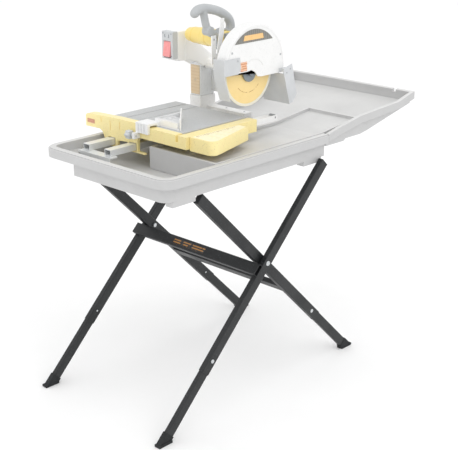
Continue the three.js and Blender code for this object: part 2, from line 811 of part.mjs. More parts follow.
// A shoe hanging under the table with a window that the rail runs through.
function railShoe(x, y0, y1) {
  const half = RAIL_WIDE / 2 + WINDOW_FIT;
  const shoe = block(x - half - 8, x + half + 8, y0, y1, LEG_FOOT_Z, TABLE_TOP - MAT_THICK - CART_WALL);
  const window = block(
    x - half,
    x + half,
    y0 - 1,
    y1 + 1,
    RAIL_BOTTOM - WINDOW_FIT + 1,
    RAIL_TOP + WINDOW_FIT,
  );
  return shoe.subtract(window);
}

function buildFrontBar() {
  const z0 = CART_BOTTOM + 2;
  const [rail1, rail2] = RAIL_X;
  const half = RAIL_WIDE / 2 + WINDOW_FIT;
  const outline = [
    [BAR_LEFT, 984], [-302, 986], [-286, 978], [rail1 - half - 9, LEG_FOOT_Z],
    [rail1 + half + 12, LEG_FOOT_Z], [rail1 + half + 14, 958], [rail2 - half - 9, 962],
    [rail2 - half - 9, LEG_FOOT_Z], [rail2 + half + 44, LEG_FOOT_Z],
    [rail2 + half + 40, LEG_FOOT_Z + 6], [rail2 + half + 6, LEG_FOOT_Z + 6],
    [rail2 + half + 6, 976],
    [rail2 + half + 12, z0], [BEAM_RIGHT, z0], [BEAM_RIGHT, TABLE_TOP], [BAR_STEP + 14, TABLE_TOP],
    [BAR_STEP, BAR_TALL - 5], [BAR_STEP - 6, BAR_TALL],
    [-200, BAR_TALL], [BAR_LEFT + 30, 1036], [BAR_LEFT + 8, 1033], [BAR_LEFT, 1026],
  ];
  let bar = prismY(outline, BAR_FRONT, BAR_REAR);
  const windowZ0 = RAIL_BOTTOM - WINDOW_FIT + 1;
  for (const x of RAIL_X) {
    bar = bar.subtract(block(
      x - half, x + half, BAR_FRONT - 1, BAR_REAR + 1, windowZ0, RAIL_TOP + WINDOW_FIT,
    ));
  }
  bar = bar.subtract(block(
    BLADE_X - SLOT_HALF, BLADE_X + SLOT_HALF, BAR_FRONT - 1, BAR_REAR + 1, NOTCH_Z, TABLE_TOP + 1,
  ));
  bar = bar.subtract(block(BAR_LEFT, BEAM_RIGHT + 1, BAR_FRONT + LEG_THICK, BAR_REAR + 1, 900, z0 - 4));
  for (const [x, z, long] of [[-292, 1022, 20], [-240, 1008, 36], [-186, 1016, 28]]) {
    bar = bar.subtract(block(x - 2, x + 2, BAR_FRONT - 1, BAR_FRONT + 2, z - long / 2, z + long / 2));
  }
  add("front_bar", bar, YELLOW, 0.5);
}

function buildExtension() {
  const x0 = BEAM_RIGHT + GAP;
  const rearX = EXT_RIGHT - EXT_TAPER;
  const round = [];
  for (let i = 0; i <= 5; i += 1) {
    const a = (-90 + (105 * i) / 5) * DEG;
    round.push([EXT_RIGHT - 26 + 26 * Math.cos(a), EXT_FRONT + 26 + 26 * Math.sin(a)]);
  }
  const plan = [[x0, EXT_FRONT], ...round, [rearX, EXT_REAR], [x0, EXT_REAR]];
  const inset = (d) => [
    [x0 + d, EXT_FRONT + d], ...round.map(([x, y]) => [x - d * 0.9, y + d * 0.9]),
    [rearX - d, EXT_REAR - d], [x0 + d, EXT_REAR - d],
  ];
  const shell = prismZ(plan, EXT_BOTTOM, TABLE_TOP)
    .subtract(prismZ(inset(5), EXT_BOTTOM - 1, TABLE_TOP - 12))
    .subtract(prismZ(inset(7), TABLE_TOP - 4, TABLE_TOP + 1));
  add("side_extension", shell, YELLOW, 0.5);
  let top = prismZ(inset(7 + GAP), TABLE_TOP - 4 + GAP, TABLE_TOP);
  for (let i = 1; i <= 4; i += 1) {
    const y = EXT_FRONT + 20 + i * 40;
    top = top.subtract(block(x0, EXT_RIGHT, y - 2, y + 2, TABLE_TOP - 1.5, TABLE_TOP + 1));
  }
  add("extension_mat", top, 0xfff6d8, 0.8);
}

function buildGuide() {
  const x0 = BAR_STEP + 6;
  const x1 = x0 + 66;
  const clear = BAR_TALL + 0.6;
  const over = block(x0, x1, BAR_FRONT - 12, BAR_REAR + 14, clear, clear + 9);
  const frontWall = block(x0, x1, BAR_FRONT - 12, BAR_FRONT - 0.5, KNOB_Z + 12, clear + 1);
  const rearWall = block(x0, x1, BAR_REAR + 0.5, BAR_REAR + 14, TABLE_TOP + 0.5, clear + 1);
  let clamp = over.add(frontWall).add(rearWall);
  for (let i = 0; i < 3; i += 1) {
    clamp = clamp.subtract(block(
      x0 + 12 + i * 16, x0 + 17 + i * 16, BAR_FRONT - 13, BAR_FRONT - 8, KNOB_Z + 16, clear + 5,
    ));
  }
  const stemY = BAR_FRONT - 20;
  const lug = block(x0, x0 + 12, BAR_FRONT - 30, BAR_FRONT - 0.5, KNOB_Z - 10, KNOB_Z + 13);
  const stemHole = rodX(stemY, KNOB_Z, 4 + RUN, x0 - 1, x0 + 13, 16);
  add("guide_clamp", clamp.add(lug).subtract(stemHole), 0xe6e7e8, 0.35, 0.5);
  const stem = rodX(stemY, KNOB_Z, 4, x0 - 20, x0 + 11, 16);
  const grip = rodX(stemY, KNOB_Z, 17, x0 - 36, x0 - 14, 24);
  let knob = grip;
  for (let i = 0; i < 6; i += 1) {
    const a = (i * 60 + 30) * DEG;
    knob = knob.subtract(rodX(
      stemY + 21 * Math.cos(a),
      KNOB_Z + 21 * Math.sin(a),
      7,
      x0 - 40,
      x0 - 10,
      12,
    ));
  }
  add("guide_knob", knob.add(stem), 0x85898c, 0.7);

  const tip = [96, BAR_REAR + 4];
  const leg = 140;
  const web = TABLE_TOP + 0.4;
  const rearY = BAR_REAR + 14 + GAP;
  const plan = [
    [tip[0] - leg, rearY], [tip[0] - (rearY - tip[1]) - 2, rearY], [tip[0] - leg, tip[1] + leg - 2],
  ];
  const plate = prismZ(plan, web, web + 5);
  const left = block(tip[0] - leg, tip[0] - leg + 5, rearY, tip[1] + leg - 6, web, web + 26);
  const frontRib = block(tip[0] - leg, tip[0] - 22, rearY, rearY + 5, web, web + 26);
  const faceWidth = 5;
  const c = Math.SQRT1_2;
  const a0 = [tip[0] - (rearY - tip[1]), rearY];
  const a1 = [tip[0] - leg, tip[1] + leg];
  const face = prismZ(
    [
      a0, [a0[0] + faceWidth * c, a0[1] + faceWidth * c], [a1[0] + faceWidth * c, a1[1] + faceWidth * c],
      a1,
    ],
    web,
    web + 40,
  );
  let fence = plate.add(face).add(left).add(frontRib);
  for (let i = 1; i <= 3; i += 1) {
    const y = rearY + i * 26;
    fence = fence.add(block(tip[0] - leg, tip[0] - (y - tip[1]), y - 1.5, y + 1.5, web, web + 20));
  }
  add("guide_fence", fence, 0xf0f0f0, 0.4, 0.2);
}

// ---------- head ----------

function buildHead() {
  const outL = COLUMN_LEFT - GAP;
  const outR = COLUMN_RIGHT + GAP;
  const armL = outL - CHEEK;
  const armR = outR + CHEEK;
  const side = [
    [ARM_FRONT, ARM_LOW], [182, 1191], [226, 1178], [262, 1156],
    ...arc(HINGE_Y, HINGE_Z, 22, 200, 350, 8), [HINGE_Y + 32, 1172], [HINGE_Y + 34, 1184],
    [235, 1258], [204, 1268], [186, 1294], [168, ARM_HIGH], [ARM_FRONT, ARM_HIGH],
  ];
  const cheeks = prismX(side, armL, armR);
  const span = block(outL, outR, ARM_REAR, HINGE_Y + 60, 1100, ARM_HIGH);
  const slimL = block(armL - 1, BOX_LEFT, ARM_FRONT - 1, ARM_REAR - CHEEK, ARM_LOW - 40, ARM_HIGH + 1);
  const slimR = block(BOX_RIGHT, armR + 1, ARM_FRONT - 1, ARM_FRONT + 40, ARM_LOW - 40, ARM_HIGH + 1);
  const tube = rodX(HINGE_Y, HINGE_Z, TUBE_R, armR - 1, CASE_LEFT - GAP, 28);
  const hole = rodX(HINGE_Y, HINGE_Z, HINGE_R + GAP, armL - 1, armR + 24);
  add(
    "head_arm",
    cheeks.subtract(span).subtract(slimL).subtract(slimR).add(tube).subtract(hole),
    WHITE,
    0.45,
    0.1,
  );
  add("hinge_pin", rodX(HINGE_Y, HINGE_Z, HINGE_R, armL - 4, armR + 20), SILVER, 0.3, 0.9);

  const right = CASE_LEFT - GAP;
  const profile = [
    [MOTOR_LEFT, 0], [MOTOR_LEFT, MOTOR_R - 18], [MOTOR_LEFT + 4, MOTOR_R - 12],
    [MOTOR_LEFT + 14, MOTOR_R - 7], [MOTOR_LEFT + 40, MOTOR_R - 4], [MOTOR_LEFT + 90, MOTOR_R],
    [right, MOTOR_R], [right, 0],
  ];
  add("motor_housing", turnedX(MOTOR_Y, MOTOR_Z, profile, 32), 0xffe27a, 0.45);

  const face = ARM_FRONT - BOX_DEPTH;
  const box = block(BOX_LEFT, BOX_RIGHT, face, ARM_FRONT - GAP, BOX_BOTTOM, ARM_HIGH);
  const pocketL = BOX_LEFT + 9;
  const pocketR = BOX_RIGHT - 12;
  const pocketTop = BOX_BOTTOM + 70;
  const pocket = block(pocketL, pocketR, face - 1, face + 12, BOX_BOTTOM + 4, pocketTop);
  const pinZ = pocketTop - 6;
  const pins = rodX(face + 6, pinZ, 2.5 + RUN, pocketL - 3, pocketR + 3, 16);
  let cover = box.subtract(pocket).subtract(pins);
  for (const x of [BOX_LEFT + 14, BOX_LEFT + 36]) {
    cover = cover.subtract(block(x, x + 5, face - 1, face + 3, ARM_HIGH - 24, ARM_HIGH - 11));
  }
  add("switch_box", cover, 0x9b9ea1, 0.7);
  const foot0 = BOX_BOTTOM + 8;
  const paddle = prismX(
    [
      [face + 8, pinZ + 4], [face + 3, pinZ + 4], [face, pinZ - 4], [face - 8, foot0 + 3],
      [face - 4, foot0], [face - 1, foot0 + 3], [face + 8, pinZ - 8],
    ],
    pocketL + 1,
    pocketR - 1,
  );
  add("switch_paddle", paddle.add(rodX(face + 6, pinZ, 2.5, pocketL - 2, pocketR + 2, 16)), 0xf4898b, 0.5);

  const grip = [
    [22, 1412], [36, 1422], [66, 1426], [104, 1420], [146, 1408], [184, 1389], [208, 1366], [213, 1342],
    [204, 1322],
  ];
  const leg = [[62, 1420], [72, 1396], [80, 1366], [94, 1338], [118, 1324], [132, 1316]];
  const band = rodX(MOTOR_Y, MOTOR_Z, MOTOR_R + 8, HANDLE_X - 15, HANDLE_X + 15, 32)
    .subtract(rodX(MOTOR_Y, MOTOR_Z, MOTOR_R + GAP, HANDLE_X - 16, HANDLE_X + 16, 32));
  const tip = solid(new THREE.SphereGeometry(GRIP_R - 1, 16, 10).translate(HANDLE_X, grip[0][0], grip[0][1]));
  const pad = rodX(92, 1340, 18, HANDLE_X - 17, HANDLE_X + 19, 24);
  add(
    "handle",
    sweptX(HANDLE_X, grip, GRIP_R).add(sweptX(HANDLE_X, leg, GRIP_R - 3)).subtract(rodX(
      MOTOR_Y, MOTOR_Z, MOTOR_R + 4, HANDLE_X - 30, HANDLE_X + 30, 32,
    )).add(band).add(tip).add(pad),
    0x96999c,
    0.75,
  );

  const caseBody = block(CASE_LEFT, GUARD_LEFT - GAP, CASE_FRONT, 250, CASE_LOW, CASE_HIGH);
  const boss = rodX(BLADE_Y, BLADE_Z, BOSS_R, CASE_LEFT + 20, GUARD_LEFT - GAP, 32);
  const shelf = block(
    CASE_LEFT + 20, GUARD_LEFT - GAP, BLADE_Y, CASE_FRONT + 1, CASE_LOW, BLADE_Z + BOSS_R,
  );
  const lobe = prismX(
    [[200, 1230], [200, CASE_LOW], ...arc(HINGE_Y, HINGE_Z, TUBE_R + 4, 225, 405, 10), [249, 1230]],
    CASE_LEFT,
    CASE_LEFT + 54,
  );
  add("gear_case", caseBody.add(boss).add(shelf).add(lobe), 0x9a9da0, 0.6);

  const fin = [
    [69, 1222], [CASE_FRONT - GAP, 1222], [CASE_FRONT - GAP, 1262], [118, 1272], [134, 1330], [137, 1388],
    [121, 1388], [110, 1332], [97, 1258], [92, 1258], [92, 1328], [69, 1328],
  ];
  const finX = CASE_LEFT + FIN_THICK;
  const tail = prismX(
    [[CASE_FRONT - 10, 1222], [CASE_FRONT + 40, 1222], [CASE_FRONT - 10, 1262]],
    CASE_LEFT - FIN_THICK,
    CASE_LEFT - GAP,
  );
  const join = prismX(
    [[CASE_FRONT - 10, 1222], [CASE_FRONT - GAP, 1222], [CASE_FRONT - GAP, 1250], [CASE_FRONT - 10, 1258]],
    CASE_LEFT - FIN_THICK,
    finX,
  );
  add("case_fin", prismX(fin, CASE_LEFT, finX).add(tail).add(join), WHITE, 0.45, 0.1);

  buildGuard();
}

function buildGuard() {
  const low = 1188;
  const high = 1216;
  const outline = (inset) => {
    const r = GUARD_R - inset;
    const open = [[GUARD_Y - r, high - 60], [GUARD_Y + r - 6, low - 60]];
    const edge = [
      [GUARD_Y - r + 3, high], [82, high], [104, high + 3], [124, high - 6], [140, low + 3], [160, low],
    ];
    edge.push([GUARD_Y + r - 12, low]);
    return [...arc(GUARD_Y, GUARD_Z, r, -14, 184, 22), ...(inset ? open : edge)];
  };
  const shell = prismX(outline(0), GUARD_LEFT + 4, GUARD_RIGHT - 4)
    .add(prismX(scaled(outline(0), 0.985), GUARD_LEFT, GUARD_RIGHT));
  const room = prismX(outline(GUARD_WALL), GUARD_LEFT + GUARD_WALL, GUARD_RIGHT - GUARD_WALL);
  const spindle = rodX(BLADE_Y, BLADE_Z, SPINDLE_R + 6, GUARD_LEFT - 1, GUARD_LEFT + GUARD_WALL + 1);
  add("blade_guard", shell.subtract(room).subtract(spindle), WHITE, 0.4, 0.1);
  const badgeR = (BADGE_HALF * BADGE_HALF + BADGE_RISE * BADGE_RISE) / (2 * BADGE_RISE);
  const badgeOpen = Math.acos(BADGE_HALF / badgeR) / DEG;
  const badge = arc(BADGE_Y, BADGE_Z + BADGE_RISE - badgeR, badgeR, badgeOpen, 180 - badgeOpen, 14);
  add("guard_badge", prismX(badge, GUARD_RIGHT + GAP, GUARD_RIGHT + 1.6), 0x9c9a92, 0.5);
  add("warning_plate", block(GUARD_RIGHT + GAP, GUARD_RIGHT + 1.4, 46, 80, 1220, 1254), 0xf0c8a8, 0.5);

  const bladeX0 = BLADE_X - BLADE_THICK / 2;
  const bladeX1 = BLADE_X + BLADE_THICK / 2;
  let blade = rodX(BLADE_Y, BLADE_Z, BLADE_R, bladeX0, bladeX1, 96);
  blade = blade.subtract(rodX(BLADE_Y, BLADE_Z, SPINDLE_R + GAP, BLADE_X - 5, BLADE_X + 5));
  add("blade", blade, 0xffeebb, 0.4, 0.3);
  const flange = (x0, x1) => rodX(BLADE_Y, BLADE_Z, FLANGE_R, x0, x1, 32)
    .subtract(rodX(BLADE_Y, BLADE_Z, SPINDLE_R + GAP, x0 - 1, x1 + 1));
  add("flange_inner", flange(bladeX0 - GAP - FLANGE_THICK, bladeX0 - GAP), 0x9aa0a4, 0.35, 0.8);
  add("flange_outer", flange(bladeX1 + GAP, bladeX1 + GAP + FLANGE_THICK), 0x9aa0a4, 0.35, 0.8);
  const nutX = bladeX1 + GAP * 2 + FLANGE_THICK;
  const nut = rodX(BLADE_Y, BLADE_Z, 14, nutX, nutX + 11, 6);
  add("spindle", rodX(BLADE_Y, BLADE_Z, SPINDLE_R, GUARD_LEFT + 0.4, nutX + 3).add(nut), SILVER, 0.3, 0.9);

  const wing = prismX(
    [[-36, 1214], [32, 1214], [46, 1234], [40, 1274], [-30, 1274]],
    GUARD_RIGHT + GAP,
    GUARD_RIGHT + 4,
  );
  const panel = [[-40, 1274], [-44, 1274], [-42, 1206], [-12, FLAP_BOTTOM], [-8, FLAP_BOTTOM], [-38, 1207]];
  const front = prismX(panel, BLADE_X - 20, GUARD_RIGHT + 4);
  const link = block(GUARD_RIGHT + GAP, GUARD_RIGHT + 4, -42, -28, 1214, 1274);
  add("front_flap", front.add(wing).add(link), 0xa6a9ac, 0.85);
  const rearPanel = [[258, 1186], [262, 1186], [297, 1064], [293, 1064]];
  const rear = prismX(rearPanel, 46, 174);
  const side = prismX(
    [[257, 1190], [293, 1064], [314, 1072], [334, 1098], [305, 1218], [263, 1206], [257, 1206]],
    171,
    175,
  );
  const hanger = block(GUARD_RIGHT + GAP, 175, 264, 296, 1191, 1204);
  const bridge = block(GUARD_RIGHT + GAP, GUARD_RIGHT + 4, 256, 296, 1191, 1204);
  add("rear_flap", rear.add(side).add(hanger).add(bridge), 0xacafb2, 0.85);
}

function scaled(points, k) {
  const cy = GUARD_Y;
  const cz = GUARD_Z;
  return points.map(([y, z]) => [cy + (y - cy) * k, z > 1222 ? cz + (z - cz) * k : z]);
}

buildStand();
buildTub();
buildRearTray();
buildSideTray();
buildRails();
buildColumn();
buildCart();
buildFrontBar();
buildExtension();
buildGuide();
buildHead();

export default group;
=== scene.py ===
import json
import math

import bmesh
import bpy
from mathutils import Matrix, Vector


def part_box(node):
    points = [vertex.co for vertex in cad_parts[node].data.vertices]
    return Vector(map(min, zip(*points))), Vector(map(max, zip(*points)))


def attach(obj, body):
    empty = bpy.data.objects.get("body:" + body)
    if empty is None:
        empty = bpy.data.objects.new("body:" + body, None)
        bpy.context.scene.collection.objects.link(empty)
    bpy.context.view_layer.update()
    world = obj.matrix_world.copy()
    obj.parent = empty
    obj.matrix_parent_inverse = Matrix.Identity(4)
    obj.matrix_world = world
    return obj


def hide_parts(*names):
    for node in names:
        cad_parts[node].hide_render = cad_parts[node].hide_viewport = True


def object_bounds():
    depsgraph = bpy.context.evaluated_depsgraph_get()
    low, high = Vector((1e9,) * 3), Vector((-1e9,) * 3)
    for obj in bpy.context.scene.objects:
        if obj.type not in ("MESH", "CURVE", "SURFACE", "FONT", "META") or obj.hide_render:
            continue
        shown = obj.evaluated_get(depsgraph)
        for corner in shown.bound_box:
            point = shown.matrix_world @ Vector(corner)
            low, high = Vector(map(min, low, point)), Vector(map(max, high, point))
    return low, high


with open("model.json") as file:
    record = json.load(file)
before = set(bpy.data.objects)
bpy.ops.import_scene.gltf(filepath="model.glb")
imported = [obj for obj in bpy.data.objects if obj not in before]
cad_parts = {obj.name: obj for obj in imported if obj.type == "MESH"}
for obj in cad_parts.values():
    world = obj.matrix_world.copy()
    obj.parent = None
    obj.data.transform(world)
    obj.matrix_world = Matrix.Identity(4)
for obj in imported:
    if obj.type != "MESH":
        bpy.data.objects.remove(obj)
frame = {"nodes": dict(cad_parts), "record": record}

CAD_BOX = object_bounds()
MM = 0.001
BODY_OF = {node: body for body, members in frame["record"]["behaviour"]["bodies"].items()
           for node in members}


def ink(code):
    """A colour written as on a paint chart, as the renderer's linear values."""
    parts = [int(code[i:i + 2], 16) / 255 for i in (0, 2, 4)]
    return tuple(p / 12.92 if p <= 0.04045 else ((p + 0.055) / 1.055) ** 2.4 for p in parts) + (1.0,)


# ---------- node writing ----------

class Socket:
    """A node's output. Its operators add Math nodes."""

    def __init__(self, nodes, link):
        self.nodes = nodes
        self.link = link

    def _math(self, operation, first, second):
        return self.nodes.node("ShaderNodeMath", "Value", {0: first, 1: second}, operation=operation)

    def __add__(self, other):
        return self._math("ADD", self, other)

    __radd__ = __add__

    def __sub__(self, other):
        return self._math("SUBTRACT", self, other)

    def __rsub__(self, other):
        return self._math("SUBTRACT", other, self)

    def __mul__(self, other):
        return self._math("MULTIPLY", self, other)

    __rmul__ = __mul__

    def __pow__(self, other):
        return self._math("POWER", self, other)


class Nodes:
    """A node tree, and the one way in which its nodes are made."""

    def __init__(self, tree):
        self.tree = tree

    def node(self, kind, output, sockets, **settings):
        """Makes a node, sets it up, joins its sockets and gives back one of its outputs."""
        made = self.tree.nodes.new(kind)
        for key, value in settings.items():
            setattr(made, key, value)
        for key, value in sockets.items():
            self.join(value, made.inputs[key])
        return Socket(self, made.outputs[output])

    def join(self, value, socket):
        if isinstance(value, Socket):
            self.tree.links.new(value.link, socket)
        else:
            socket.default_value = value


class Paint(Nodes):
    """One material and the nodes that make it."""

    def __init__(self, name):
        self.material = bpy.data.materials.new(name)
        self.material.use_nodes = True
        super().__init__(self.material.node_tree)
        self.shader = self.tree.nodes["Principled BSDF"]
        self.place = self.node("ShaderNodeTexCoord", "Object", {})

    def at(self, move=(0, 0, 0), scale=(1, 1, 1)):
        return self.node("ShaderNodeMapping", "Vector",
                         {"Vector": self.place, "Location": move, "Scale": scale})

    def noise(self, scale, detail=3.0, roughness=0.5, stretch=(1, 1, 1)):
        return self.node("ShaderNodeTexNoise", "Fac",
                         {"Vector": self.at(scale=stretch), "Scale": scale, "Detail": detail,
                          "Roughness": roughness})

    def cells(self, scale):
        return self.node("ShaderNodeTexVoronoi", "Distance", {"Vector": self.place, "Scale": scale})

    def span(self, value, low, high, start=0.0, end=1.0):
        return self.node("ShaderNodeMapRange", "Result",
                         {"Value": value, "From Min": low, "From Max": high, "To Min": start, "To Max": end},
                         interpolation_type="SMOOTHSTEP")

    def axes(self, vector=None):
        return [self.node("ShaderNodeSeparateXYZ", axis, {"Vector": vector or self.place}) for axis in "XYZ"]

    def mix(self, factor, first, second):
        """Two colours mixed. A Mix node's colours are its inputs 6 and 7 and its output 2."""
        return self.node("ShaderNodeMix", 2, {0: factor, 6: first, 7: second}, data_type="RGBA")

    def attribute(self, name):
        return self.node("ShaderNodeAttribute", "Fac", {}, attribute_name=name)

    def finish(self, colour, roughness, height=None, depth=0.0002, strength=0.6, **fixed):
        self.join(colour, self.shader.inputs["Base Color"])
        self.join(roughness, self.shader.inputs["Roughness"])
        if height is not None:
            bump = self.node("ShaderNodeBump", "Normal",
                             {"Height": height, "Distance": depth, "Strength": strength})
            self.join(bump, self.shader.inputs["Normal"])
        for key, value in fixed.items():
            self.shader.inputs[key.replace("_", " ")].default_value = value
        return self.material


def shade(colour, factor):
    return tuple(min(1.0, c * factor) for c in colour[:3]) + (1.0,)


# Bump depths and pitches, in metres.
LINE_DEPTH = 0.00008
STREAK_DEPTH = 0.0003
RIB_PITCH = 0.0042
RIB_DEPTH = 0.0005
GRIT_DEPTH = 0.00012
FILM_DEPTH = 0.00005


def moulded_plastic(name, colour, rough=0.5, grain=900, depth=0.00016, edge_highlight=1.25, spread=0.06, coat=0.0,
                    top_light_and_dust=None):
    """Moulded plastic: fine spark-eroded grain, faint clouding, edges polished by handling and lightened as a
    painted highlight, a few scuffs.

    The last argument is the colour that faces looking up are lightened to, in patches: painted top light,
    broken up like settled stone powder.
    """
    paint = Paint(name)
    cloud = paint.noise(7, 4, 0.55)
    body = paint.mix(paint.span(cloud, 0.3, 0.7), shade(colour, 1 - spread), shade(colour, 1 + spread))
    edge = paint.attribute("edge")
    # Lighter rounded edges: partly wear polished by handling, partly a painted highlight.
    edge_wear_and_highlight = edge * paint.span(paint.noise(30, 2), 0.2, 0.8, 0.75, 1.0)
    body = paint.mix(edge_wear_and_highlight * 0.8, body, shade(colour, edge_highlight))
    scuff = paint.span(paint.noise(38, 6, 0.75, (1, 0.09, 1)), 0.66, 0.74)
    body = paint.mix(scuff * 0.3, body, shade(colour, 1.12))
    # Faces that look up are lightened in patches: painted top light, broken up like settled powder.
    if top_light_and_dust:
        facing = paint.node("ShaderNodeNewGeometry", "Normal", {})
        top_lit_faces = paint.span(paint.axes(facing)[2], 0.55, 0.95)
        top_light_patches = paint.span(paint.noise(6, 5, 0.6), 0.25, 0.75, 0.7, 1.0)
        body = paint.mix(top_lit_faces * top_light_patches, body, top_light_and_dust)
    height = paint.cells(grain) * 0.5 + paint.noise(grain * 0.6, 2) * 0.5 - scuff * 0.4
    roughness = paint.span(paint.noise(16, 4), 0.25, 0.75, rough - 0.07, rough + 0.1) - edge_wear_and_highlight * 0.12
    return paint.finish(body, roughness, height, depth, Coat_Weight=coat, Coat_Roughness=0.3)


def painted_metal(name, colour, rough=0.4, bare="8d9092", chips=0.7, peel=420, depth=0.00012, spread=0.05,
                  coat=0.2, marks=0.28):
    """Baked paint: orange peel, a little clouding, chips down to metal on some edges, hairline scratches."""
    paint = Paint(name)
    cloud = paint.noise(5, 4)
    body = paint.mix(paint.span(cloud, 0.3, 0.7), shade(colour, 1 - spread), shade(colour, 1 + spread))
    edge = paint.attribute("edge")
    chipped = edge * paint.span(paint.noise(150, 5, 0.7), 0.58, 0.64) * chips
    # Lighter rounded edges: partly rubbed paint, partly a painted highlight.
    edge_wear_and_highlight = edge * paint.span(paint.noise(30, 2), 0.25, 0.75, 0.7, 1.0)
    body = paint.mix(edge_wear_and_highlight * 0.4, body, shade(colour, 1.3))
    body = paint.mix(chipped, body, ink(bare))
    scratch = paint.span(paint.noise(55, 7, 0.8, (1, 0.05, 0.6)), 0.68, 0.73)
    body = paint.mix(scratch * marks, body, ink(bare))
    height = paint.noise(peel, 2, 0.5) - chipped * 0.8 - scratch * 0.4
    roughness = paint.span(paint.noise(11, 4), 0.25, 0.75, rough - 0.08, rough + 0.1) + chipped * 0.1
    return paint.finish(body, roughness, height, depth, Coat_Weight=coat, Coat_Roughness=0.25)


def bright_metal(name, colour, rough=0.28, grain=(1, 0.03, 1), scale=500, metal=0.85):
    """Bare drawn or plated metal: fine lines along the grain and a dull film in patches."""
    paint = Paint(name)
    lines = paint.noise(scale, 4, 0.7, grain)
    film = paint.span(paint.noise(22, 5, 0.6), 0.4, 0.75)
    body = paint.mix(lines, shade(colour, 0.82), shade(colour, 1.08))
    body = paint.mix(film * 0.35, body, shade(colour, 0.7))
    # Rounded edges lightened: a painted highlight.
    edge = paint.attribute("edge")
    body = paint.mix(edge * 0.4, body, shade(colour, 1.2))
    roughness = paint.span(lines, 0.2, 0.8, rough - 0.08, rough + 0.12) + film * 0.12
    return paint.finish(body, roughness, lines, LINE_DEPTH, Metallic=metal)


def soft_rubber(name, colour, rough=0.75, streak=(1, 1, 0.06), scale=260):
    """Sheet rubber: fine drawn streaks, dull bloom and dried splashes of slurry."""
    paint = Paint(name)
    streaks = paint.noise(scale, 4, 0.6, streak)
    bloom = paint.span(paint.noise(13, 5, 0.6), 0.35, 0.72)
    body = paint.mix(bloom, shade(colour, 0.9), shade(colour, 1.1))
    splash = paint.span(paint.noise(85, 5, 0.65), 0.63, 0.7)
    body = paint.mix(splash * 0.35, body, ink("d9d7d1"))
    # Rounded edges lightened: a painted highlight.
    body = paint.mix(paint.attribute("edge") * 0.5, body, shade(colour, 1.35))
    height = streaks * 0.7 + paint.cells(1100) * 0.3
    return paint.finish(body, paint.span(bloom, 0, 1, rough - 0.08, rough + 0.1), height,
                        STREAK_DEPTH)


def ribbed_mat(name, colour):
    """A rubber table mat with fine ribs along the feed, painted shade between the ribs, dusted with stone
    powder.
    """
    paint = Paint(name)
    wave = paint.node("ShaderNodeTexWave", "Fac",
                      {"Vector": paint.at(scale=(1, 0, 0)), "Scale": math.pi / 10 / RIB_PITCH,
                       "Distortion": 0.0}, bands_direction="X")
    worn = paint.span(paint.noise(9, 5, 0.6), 0.35, 0.7)
    ridge = paint.span(wave, 0.2, 0.6)
    # Darker between the ribs: painted shade in the grooves.
    body = paint.mix(ridge, shade(colour, 0.86), shade(colour, 1.06))
    body = paint.mix(worn * 0.3, body, shade(colour, 1.15))
    dust = paint.span(paint.noise(120, 4, 0.7), 0.55, 0.7)
    body = paint.mix(dust * 0.25, body, ink("e4e1da"))
    height = ridge + paint.noise(800, 2) * 0.2
    return paint.finish(body, paint.span(worn, 0, 1, 0.7, 0.88), height, RIB_DEPTH, 0.7)


def blade_steel(name, centre, rim):
    """A painted blade core with circular grinding, a sintered rim and a printed ring."""
    paint = Paint(name)
    x, y, z = paint.axes(paint.at(move=tuple(-c for c in centre)))
    radius = (y * y + z * z) ** 0.5
    rings = paint.node("ShaderNodeTexNoise", "Fac", {"Scale": 1.0, "Detail": 5.0,
                       "Vector": paint.node("ShaderNodeCombineXYZ", "Vector", {"X": radius * 1400.0})})
    core = paint.mix(rings, ink("fad98e"), ink("ffe7ac"))
    smear = paint.span(paint.noise(30, 5, 0.6), 0.45, 0.7)
    core = paint.mix(smear * 0.3, core, ink("f2d488"))
    on_rim = paint.span(radius, rim - 0.0016, rim)
    ring_inner, ring_outer, blur = 0.0735, 0.0762, 0.0007
    ring = (paint.span(radius, ring_inner, ring_inner + blur)
            * paint.span(radius, ring_outer, ring_outer + blur, 1.0, 0.0))
    below = paint.span(z, -0.052, -0.049, 1.0, 0.0)
    dashes = paint.span(paint.noise(180, 3), 0.42, 0.5)
    core = paint.mix(ring * below * dashes * 0.75, core, ink("b5854d"))
    grit = paint.cells(2600)
    rim_colour = paint.mix(grit, ink("d9d3c0"), ink("fffdf0"))
    body = paint.mix(on_rim, core, rim_colour)
    roughness = paint.span(rings, 0.2, 0.8, 0.3, 0.42) + on_rim * 0.25
    height = rings * 0.4 + on_rim * grit
    return paint.finish(body, roughness, height, GRIT_DEPTH, Metallic=0.15)


def printed_label(name, ground, print_colour, pitch, axis=2, share=0.5):
    """A glossy film label printed with plain bars, soiled in patches."""
    paint = Paint(name)
    along = paint.axes()[axis]
    bars = paint.node("ShaderNodeMath", "Value", {0: along * (1 / pitch)}, operation="FRACT")
    printed = paint.span(bars, share - 0.04, share + 0.04)
    broken = paint.span(paint.noise(46, 1), 0.35, 0.42)
    body = paint.mix(printed * broken * 0.7, ground, print_colour)
    body = paint.mix(paint.span(paint.noise(70, 5), 0.55, 0.75) * 0.25, body, ink("9a9488"))
    roughness = paint.span(paint.noise(40, 4), 0.3, 0.7, 0.27, 0.47)
    return paint.finish(body, roughness, paint.noise(240, 3), FILM_DEPTH, 0.4, Coat_Weight=0.4,
                        Coat_Roughness=0.2)


GREY = ink("bbbbbb")
WHITE = ink("ebebea")
YELLOW = ink("fde2a2")
